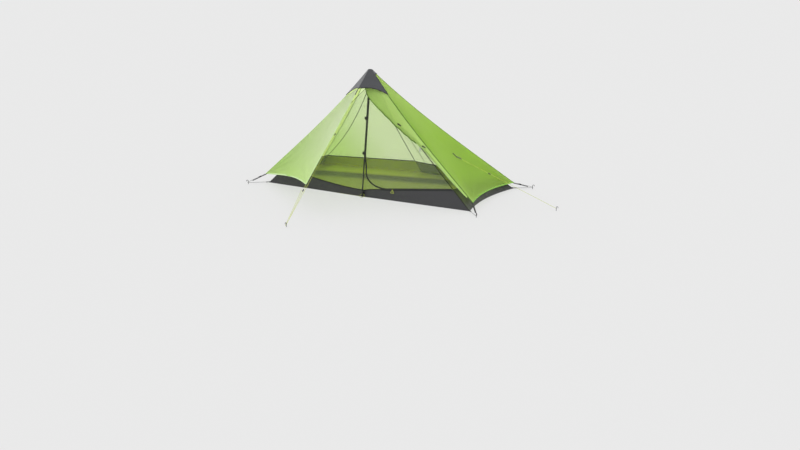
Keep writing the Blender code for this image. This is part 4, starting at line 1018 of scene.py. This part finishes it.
# At the ridges the cloth of both panels is folded flat into one raised seam.
ridges = [
    ("front_left", FRONT_LEFT, Vector((-1, -0.6, 1)), CAP_REACH_LEFT - 0.01, pale_tape),
    ("front_right", FRONT_RIGHT, Vector((1, -0.6, 1)), 0.03, seam_cloth),
    ("rear_left", REAR_LEFT, Vector((-1, 1, 1)), 0.03, seam_cloth),
    ("rear_right", REAR_RIGHT, Vector((1, 1, 1)), 0.03, seam_cloth),
    ("back_middle", BACK_MIDDLE, Vector((0, 1, 1)), 0.03, seam_cloth),
    ("door_edge", DOOR_LINE, Vector((0.4, -1, 0.6)), CAP_REACH_FRONT + 0.008, pale_tape),
]
for word, ridge, outward, start, cloth in ridges:
    body, width = ("fly_left_door", DOOR_EDGE) if word == "door_edge" else ("tent", RIDGE_SEAM)
    lift = outward.normalized() * RIDGE_LIFT
    line = [fly_ridge(ridge, start + (0.999 - start) * k / 90) + lift for k in range(91)]
    sizes = (width, 0.0010)
    ribbon("fly_seam_" + word, line, outward, *sizes, cloth, "fly_green", body=body, base=0.7)

# ---------------------------------------------------------------- Right door, gathered
# The right-hand fly door is folded back lengthwise to its ridge in long soft pleats. By the cap
# it still lies as the door would and lower down it hangs from the ridge, as two toggles hold it.
# Its free hem shows as a slanting fold above the upper toggle and as a pale line at the bottom.
ROLL_START = 0.085
ROLL_END = 0.955
ROLL_GAP = 0.002
ROLL_SIZES = (  # share of the ridge, depth across, thickness
    (0.085, 0.140, 0.014), (0.115, 0.166, 0.014), (0.15, 0.185, 0.015), (0.18, 0.182, 0.016),
    (0.21, 0.172, 0.018), (0.25, 0.160, 0.022), (0.31, 0.145, 0.028), (0.40, 0.115, 0.035),
    (0.45, 0.094, 0.036), (0.50, 0.071, 0.033), (0.56, 0.047, 0.030), (0.78, 0.030, 0.022),
    (0.96, 0.013, 0.012),
)
FRONT_LAYER = (  # share of the ridge, how much of the depth the front layer covers
    (0.09, 0.16), (0.17, 0.24), (0.24, 0.44), (0.31, 0.66),
    (0.355, 0.78), (0.40, 0.46), (0.50, 0.34), (0.96, 0.34),
)
HANGS_FROM, HANGS_FULLY = 0.115, 0.315
HANG_FORWARD = 0.012
TOGGLES = (0.355, 0.556)
TOGGLE_SQUEEZE = 0.22
TOGGLE_REACH = 0.02
# The gathered door is a lighter copy of the fly green: painted light, to make up for the shade
# between its layers.
ROLL_PAINTED_LIGHT_GREEN = ("#C2E27E", "#B6D870")
PLEATS = 9
PLEAT_POINTS = 10


def smooth(share):
    return share * share * (3 - 2 * share)


def read_table(table, s):
    """The columns of a table at s, with smooth steps between its rows."""
    for low, high in zip(table, table[1:]):
        if s <= high[0]:
            share = smooth(max(0.0, (s - low[0]) / (high[0] - low[0])))
            return [a + (b - a) * share for a, b in zip(low[1:], high[1:])]
    return list(table[-1][1:])


def roll_frame(s):
    """Ridge point, way across the gathered cloth, way out of it and how far it hangs."""
    place = fly_ridge(FRONT_RIGHT, s)
    along = (fly_ridge(FRONT_RIGHT, s + 0.01) - place).normalized()
    under = along.cross(along.cross(UP)).normalized()
    hang = smooth(min(1.0, max(0.0, (s - HANGS_FROM) / (HANGS_FULLY - HANGS_FROM))))
    door = (fly_ridge(DOOR_LINE, s) - place).normalized()
    under = door.lerp(under, 0.5 + 0.5 * hang).normalized()
    return place, under, under.cross(along).normalized(), hang


def roll_share(v):
    """The share of the ridge at this place of the gathered cloth."""
    return ROLL_START + (ROLL_END - ROLL_START) * (1 - v)


def pleat_spot(u, v):
    """The folded cloth: from the ridge it goes across and back for each pleat, back to front."""
    s = roll_share(v)
    place, under, out, hang = roll_frame(s)
    depth, thick = read_table(ROLL_SIZES, s)
    front = read_table(FRONT_LAYER, s)[0]
    tie = min(abs(s - toggle) for toggle in TOGGLES)
    thick *= 1 - TOGGLE_SQUEEZE * math.exp(-((tie / TOGGLE_REACH) ** 2))
    layer = u * PLEATS
    number = min(PLEATS - 1, int(layer))
    share = layer - number
    down = 1 - share if number % 2 else share
    turn = 0.5 - 0.5 * math.cos(math.pi * down)
    fold = number // 2
    deep = (1.0, 0.96, 0.90, 0.5 + 0.4 * front, front)[fold]
    if 0 < fold < 4:
        deep *= 0.97 + 0.06 * noise.noise(Vector((fold * 3.1, s * 5, 1)))
    shallow = 0.03 * (0.5 + 0.5 * noise.noise(Vector(((number + 1) // 2 * 2.3, s * 4, 7))))
    reach = shallow + (deep - shallow) * turn
    bulge = math.sqrt(max(0.05, 1 - (2 * reach - 1) ** 2))
    side = (layer / PLEATS - 0.5) * thick * bulge
    creases = ripple(Vector((s * 1.6, reach * depth * 3, 0.2)), 0.12, 0.0030, 21)
    side += creases * min(1, thick / 0.03)
    return place + under * (ROLL_GAP + depth * reach) + out * (HANG_FORWARD * hang * bulge + side)


roll_cloth = [
    coated_nylon("green_nylon_gathered", *ROLL_PAINTED_LIGHT_GREEN, 0.40, "#E0F2B0", 0.32),
    coated_nylon("green_nylon_gathered_underside", *ROLL_PAINTED_LIGHT_GREEN, 0.40, "#F0FADF", 0.45),
]
name, columns, out = "fly_right_door_pleats", PLEATS * PLEAT_POINTS, Vector((0, -1, 0))
piece = cloth_piece(name, columns, 150, pleat_spot, out, roll_cloth, FLY_CLOTH, (1.0, 1.45))
bpy.ops.object.shade_smooth()
finish_piece(piece, "tent", "fly_green", "fly_right_door")

# The hem of the gathered door: above, where it lies over the netting, it is drawn dark as a painted
# shadow line along the rolled edge, and its pale inner side shows lower down.
hems = (("upper", 0.52, 0.995, seam_cloth), ("lower", 0.02, 0.50, pale_tape))
for word, low, high, cloth in hems:
    line = []
    for k in range(81):
        s = roll_share(low + (high - low) * k / 80)
        place, under, out, hang = roll_frame(s)
        depth = read_table(ROLL_SIZES, s)[0]
        line.append(place + under * (ROLL_GAP + depth) + out * 0.006 * hang)
    name = f"fly_right_door_{word}_hem"
    ribbon(name, line, Vector((0.2, -1, 0.2)), 0.007, 0.0022, cloth, "fly_green", base=1.2)

# ---------------------------------------------------------------- Peak cap
# A stiff dark patch of coated nylon over the peak. It comes down both front faces in hollow
# curves to a point on each ridge, is bound along its edge, and closes behind in a collar.
CAP_TOP = 0.012
CAP_STANDOFF = 0.0052
CAP_CLOTH = 0.0014
CAP_TAPER = 0.06
cap_cloth = coated_nylon("dark_grey_cap_nylon", "#3D3F43", "#36373B", 0.55)
cap_faces = [
    (FRONT_LEFT, DOOR_LINE),
    (DOOR_LINE, FRONT_RIGHT),
    (FRONT_RIGHT, REAR_RIGHT),
    (REAR_RIGHT, BACK_MIDDLE),
    (BACK_MIDDLE, REAR_LEFT),
    (REAR_LEFT, FRONT_LEFT),
]


def cap_low(number, share):
    """How far down the cap reaches on one of its faces."""
    if number == 0:
        return cap_edge(share, CAP_REACH_LEFT, CAP_REACH_FRONT)
    if number == 1:
        return cap_edge(share, CAP_REACH_FRONT, CAP_REACH_RIGHT)
    if number == 2:
        return CAP_COLLAR + (CAP_REACH_RIGHT - CAP_COLLAR) * max(0.0, 1 - share / CAP_TAPER)
    if number == 5:
        return CAP_COLLAR + (CAP_REACH_LEFT - CAP_COLLAR) * max(0.0, 1 - (1 - share) / CAP_TAPER)
    return CAP_COLLAR


def out_of_peak(spot):
    return (spot - Vector((0, FLY_PEAK.y, spot.z))).normalized() + UP * 0.7


def cap_spot(u, v):
    """The cap is one sheet that goes round the peak; u runs through its six faces."""
    place = u * len(cap_faces)
    number = min(len(cap_faces) - 1, int(place))
    share = place - number
    t = CAP_TOP + (cap_low(number, share) - CAP_TOP) * (1 - v)
    spot = fly_surface(*cap_faces[number], share, t, 0)
    return spot + out_of_peak(spot) * CAP_STANDOFF


def cap_waves(u, v, spot):
    return ripple(spot, 0.05, 0.0012, 31)


cut = (CAP_CLOTH, (0.9, 0.25), [cap_waves])
piece = cloth_piece("peak_cap_cloth", 180, 60, cap_spot, UP, [cap_cloth], *cut)
finish_piece(piece, "tent", "dark_grey_fabric", "peak_cap")
line = [cap_spot(k / 240, 0) for k in range(240)]
outward = [out_of_peak(spot) for spot in line]
binding = (0.009, 0.0016, black_tape, "dark_grey_fabric")
ribbon("peak_cap_binding", line, outward, *binding, base=1.3, closed=True)


# ---------------------------------------------------------------- Materials of the hard pieces
# Moulded nylon, foam, anodised tube and painted wire, each on the solids that have its slot.
def moulded(name, code, rough, grain_mm=0.6, depth=0.15):
    """Injection-moulded nylon or acetal: a fine spark-eroded grain and a soft shine."""
    material, tree = start_material(name)
    place = node(tree, "TexCoord", out="Object")
    spots = {"Vector": place, "Scale": 1000 / grain_mm, "Detail": 2.0}
    grain = node(tree, "TexNoise", spots, "Fac")
    rise = node(tree, "Bump", {"Height": grain, "Strength": depth, "Distance": 0.0003})
    gloss = {"Value": grain, "To Min": rough - 0.06, "To Max": rough + 0.08}
    looks = {"Base Color": code, "Roughness": node(tree, "MapRange", gloss)}
    looks |= {"Normal": rise, "IOR": 1.5}
    node(tree, "OutputMaterial", {"Surface": node(tree, "BsdfPrincipled", looks)})
    return material


black_plastic = moulded("black_moulded_nylon", "#1A1A1B", 0.45)
bare_steel = moulded("stainless_steel_screw", "#7C7E80", 0.35, 0.4, 0.05)
webbing = coated_nylon("black_nylon_webbing", "#1B1B1C", "#121213", 0.7, weave_mm=1.8)
by_slot = {
    "black_plastic": black_plastic,
    "grip_foam": moulded("black_eva_foam", "#1D1D1E", 0.85, 1.6, 0.5),
    "black_shaft": moulded("black_anodised_aluminium", "#17181A", 0.28, 0.4, 0.05),
    "black_stake_wire": moulded("black_painted_steel_wire", "#202022", 0.4, 0.8, 0.1),
    "yellow_cord": yellow_cord,
    "dark_grey_fabric": tub_cloth,
}
slots = {row["node"]: row["material_slot"] for row in frame["record"]["subparts"]}
for name, made in frame["nodes"].items():
    if slots.get(name) in by_slot:
        made.data.materials.clear()
        made.data.materials.append(by_slot[slots[name]])

# ---------------------------------------------------------------- Straps, tabs and patches
# Webbing straps under the cords pull out the corners of the fly, and tabs those of the floor.
# One more tab hangs at the top of the left door, under the cap.
TAB_WIDTH = 0.014
STRAP_DROP = 0.007
DOOR_TAB = ((-0.0150, -0.5640, 1.0990), (-0.0185, -0.6160, 1.0500))
FOOT_PATCH = ((0, -0.5118, 0.006), (0, -0.5042, 0.050))
END_LOOP_SHARE = 0.56
END_LOOP_T = 0.660
OUT_OF_ROLL = Vector((-0.1084, -0.9941, 0))
ELASTIC_WAY = Vector((0.86, -0.09, -0.42)).normalized()
ELASTIC_DEPTH = 0.0062
for word, route in CORNER_ROUTES.items():
    fly_end, fly_next, floor_next, floor_end = (Vector(route[i]) for i in (0, 1, -2, -1))
    for part, end, beyond, near, far, drop in (
        ("fly", fly_end, fly_next, -0.028, 0.150, STRAP_DROP),
        ("floor", floor_end, floor_next, -0.010, 0.030, 0.0),
    ):
        way = (beyond - end).normalized()
        line = []
        for k in range(13):
            down = UP * drop * min(1.0, 0.2 + k / 2)
            line.append(end + way * (near + (far - near) * k / 12) - down)
        ribbon(f"{part}_corner_tab_{word}", line, UP, TAB_WIDTH, 0.0022, webbing, base=1.0)
line, out = straight(DOOR_TAB, 6), Vector((0.3, -1, 0.6))
ribbon("door_top_tab", line, out, 0.007, 0.0018, webbing, body="fly_left_door", base=1.0)

# A black patch under the yellow loop, where the pole's foot stands against the floor's edge.
ribbon("pole_foot_patch", straight(FOOT_PATCH, 6), OUT_OF_FRONT, 0.030, 0.0020, webbing, base=0.2)

# A sewn webbing patch holds each end loop, and a short elastic lies under each door toggle.
for word, side, first, second in (
    ("right", 1, FRONT_RIGHT, REAR_RIGHT),
    ("left", -1, FRONT_LEFT, REAR_LEFT),
):
    out = Vector((side, 0, 1)).normalized()
    line = []
    for k in range(8):
        spot = fly_surface(first, second, END_LOOP_SHARE, END_LOOP_T + 0.005 * k)
        line.append(spot + out * 0.0016)
    ribbon(f"end_loop_patch_{word}", line, out, 0.017, 0.0018, webbing, base=0.8)
for word, place, length, width in (
    ("upper", Vector((0.3704, -0.4338, 0.7573)), 0.046, 0.013),
    ("lower", Vector((0.6630, -0.4650, 0.5725)), 0.040, 0.010),
):
    place -= OUT_OF_ROLL * ELASTIC_DEPTH
    line = [place + ELASTIC_WAY * length * (k / 6 - 0.5) for k in range(7)]
    ribbon(f"toggle_elastic_{word}", line, OUT_OF_ROLL, width, 0.0014, webbing, base=1.0)

# The flick-locks' moulded side housings, each with the screw that sets its grip.
POLE_TILT = -0.1352
HOUSING_X = -0.0170
HOUSING_SIZE = (0.013, 0.018, 0.030)
SCREW_X = -0.0245
SCREW_RADIUS = 0.0032
SCREW_LENGTH = 0.004


def hard_detail(name, body, material, bevel, segments):
    """Finishes the primitive that was just added: its edges are rounded by the bevel."""
    bpy.ops.object.transform_apply(location=True, rotation=True, scale=True)
    piece = bpy.context.object
    piece.name = name
    apply_modifier(piece, "BEVEL", width=bevel, segments=segments)
    piece.data.materials.append(material)
    finish_piece(piece, body, "black_plastic")


for word, y, z, body in (
    ("upper", -0.4229, 0.7877, "tent"),
    ("lower", -0.4701, 0.4408, "pole_middle"),
):
    placed = {"location": (HOUSING_X, y, z), "rotation": (POLE_TILT, 0, 0)}
    bpy.ops.mesh.primitive_cube_add(size=1, scale=HOUSING_SIZE, **placed)
    hard_detail(f"{word}_clamp_housing", body, black_plastic, 0.0035, 3)
    placed = {"location": (SCREW_X, y, z), "rotation": (0, math.pi / 2, 0)}
    sizes = {"radius": SCREW_RADIUS, "depth": SCREW_LENGTH}
    bpy.ops.mesh.primitive_cylinder_add(vertices=6, **sizes, **placed)
    hard_detail(f"{word}_clamp_screw", body, bare_steel, 0.0004, 2)
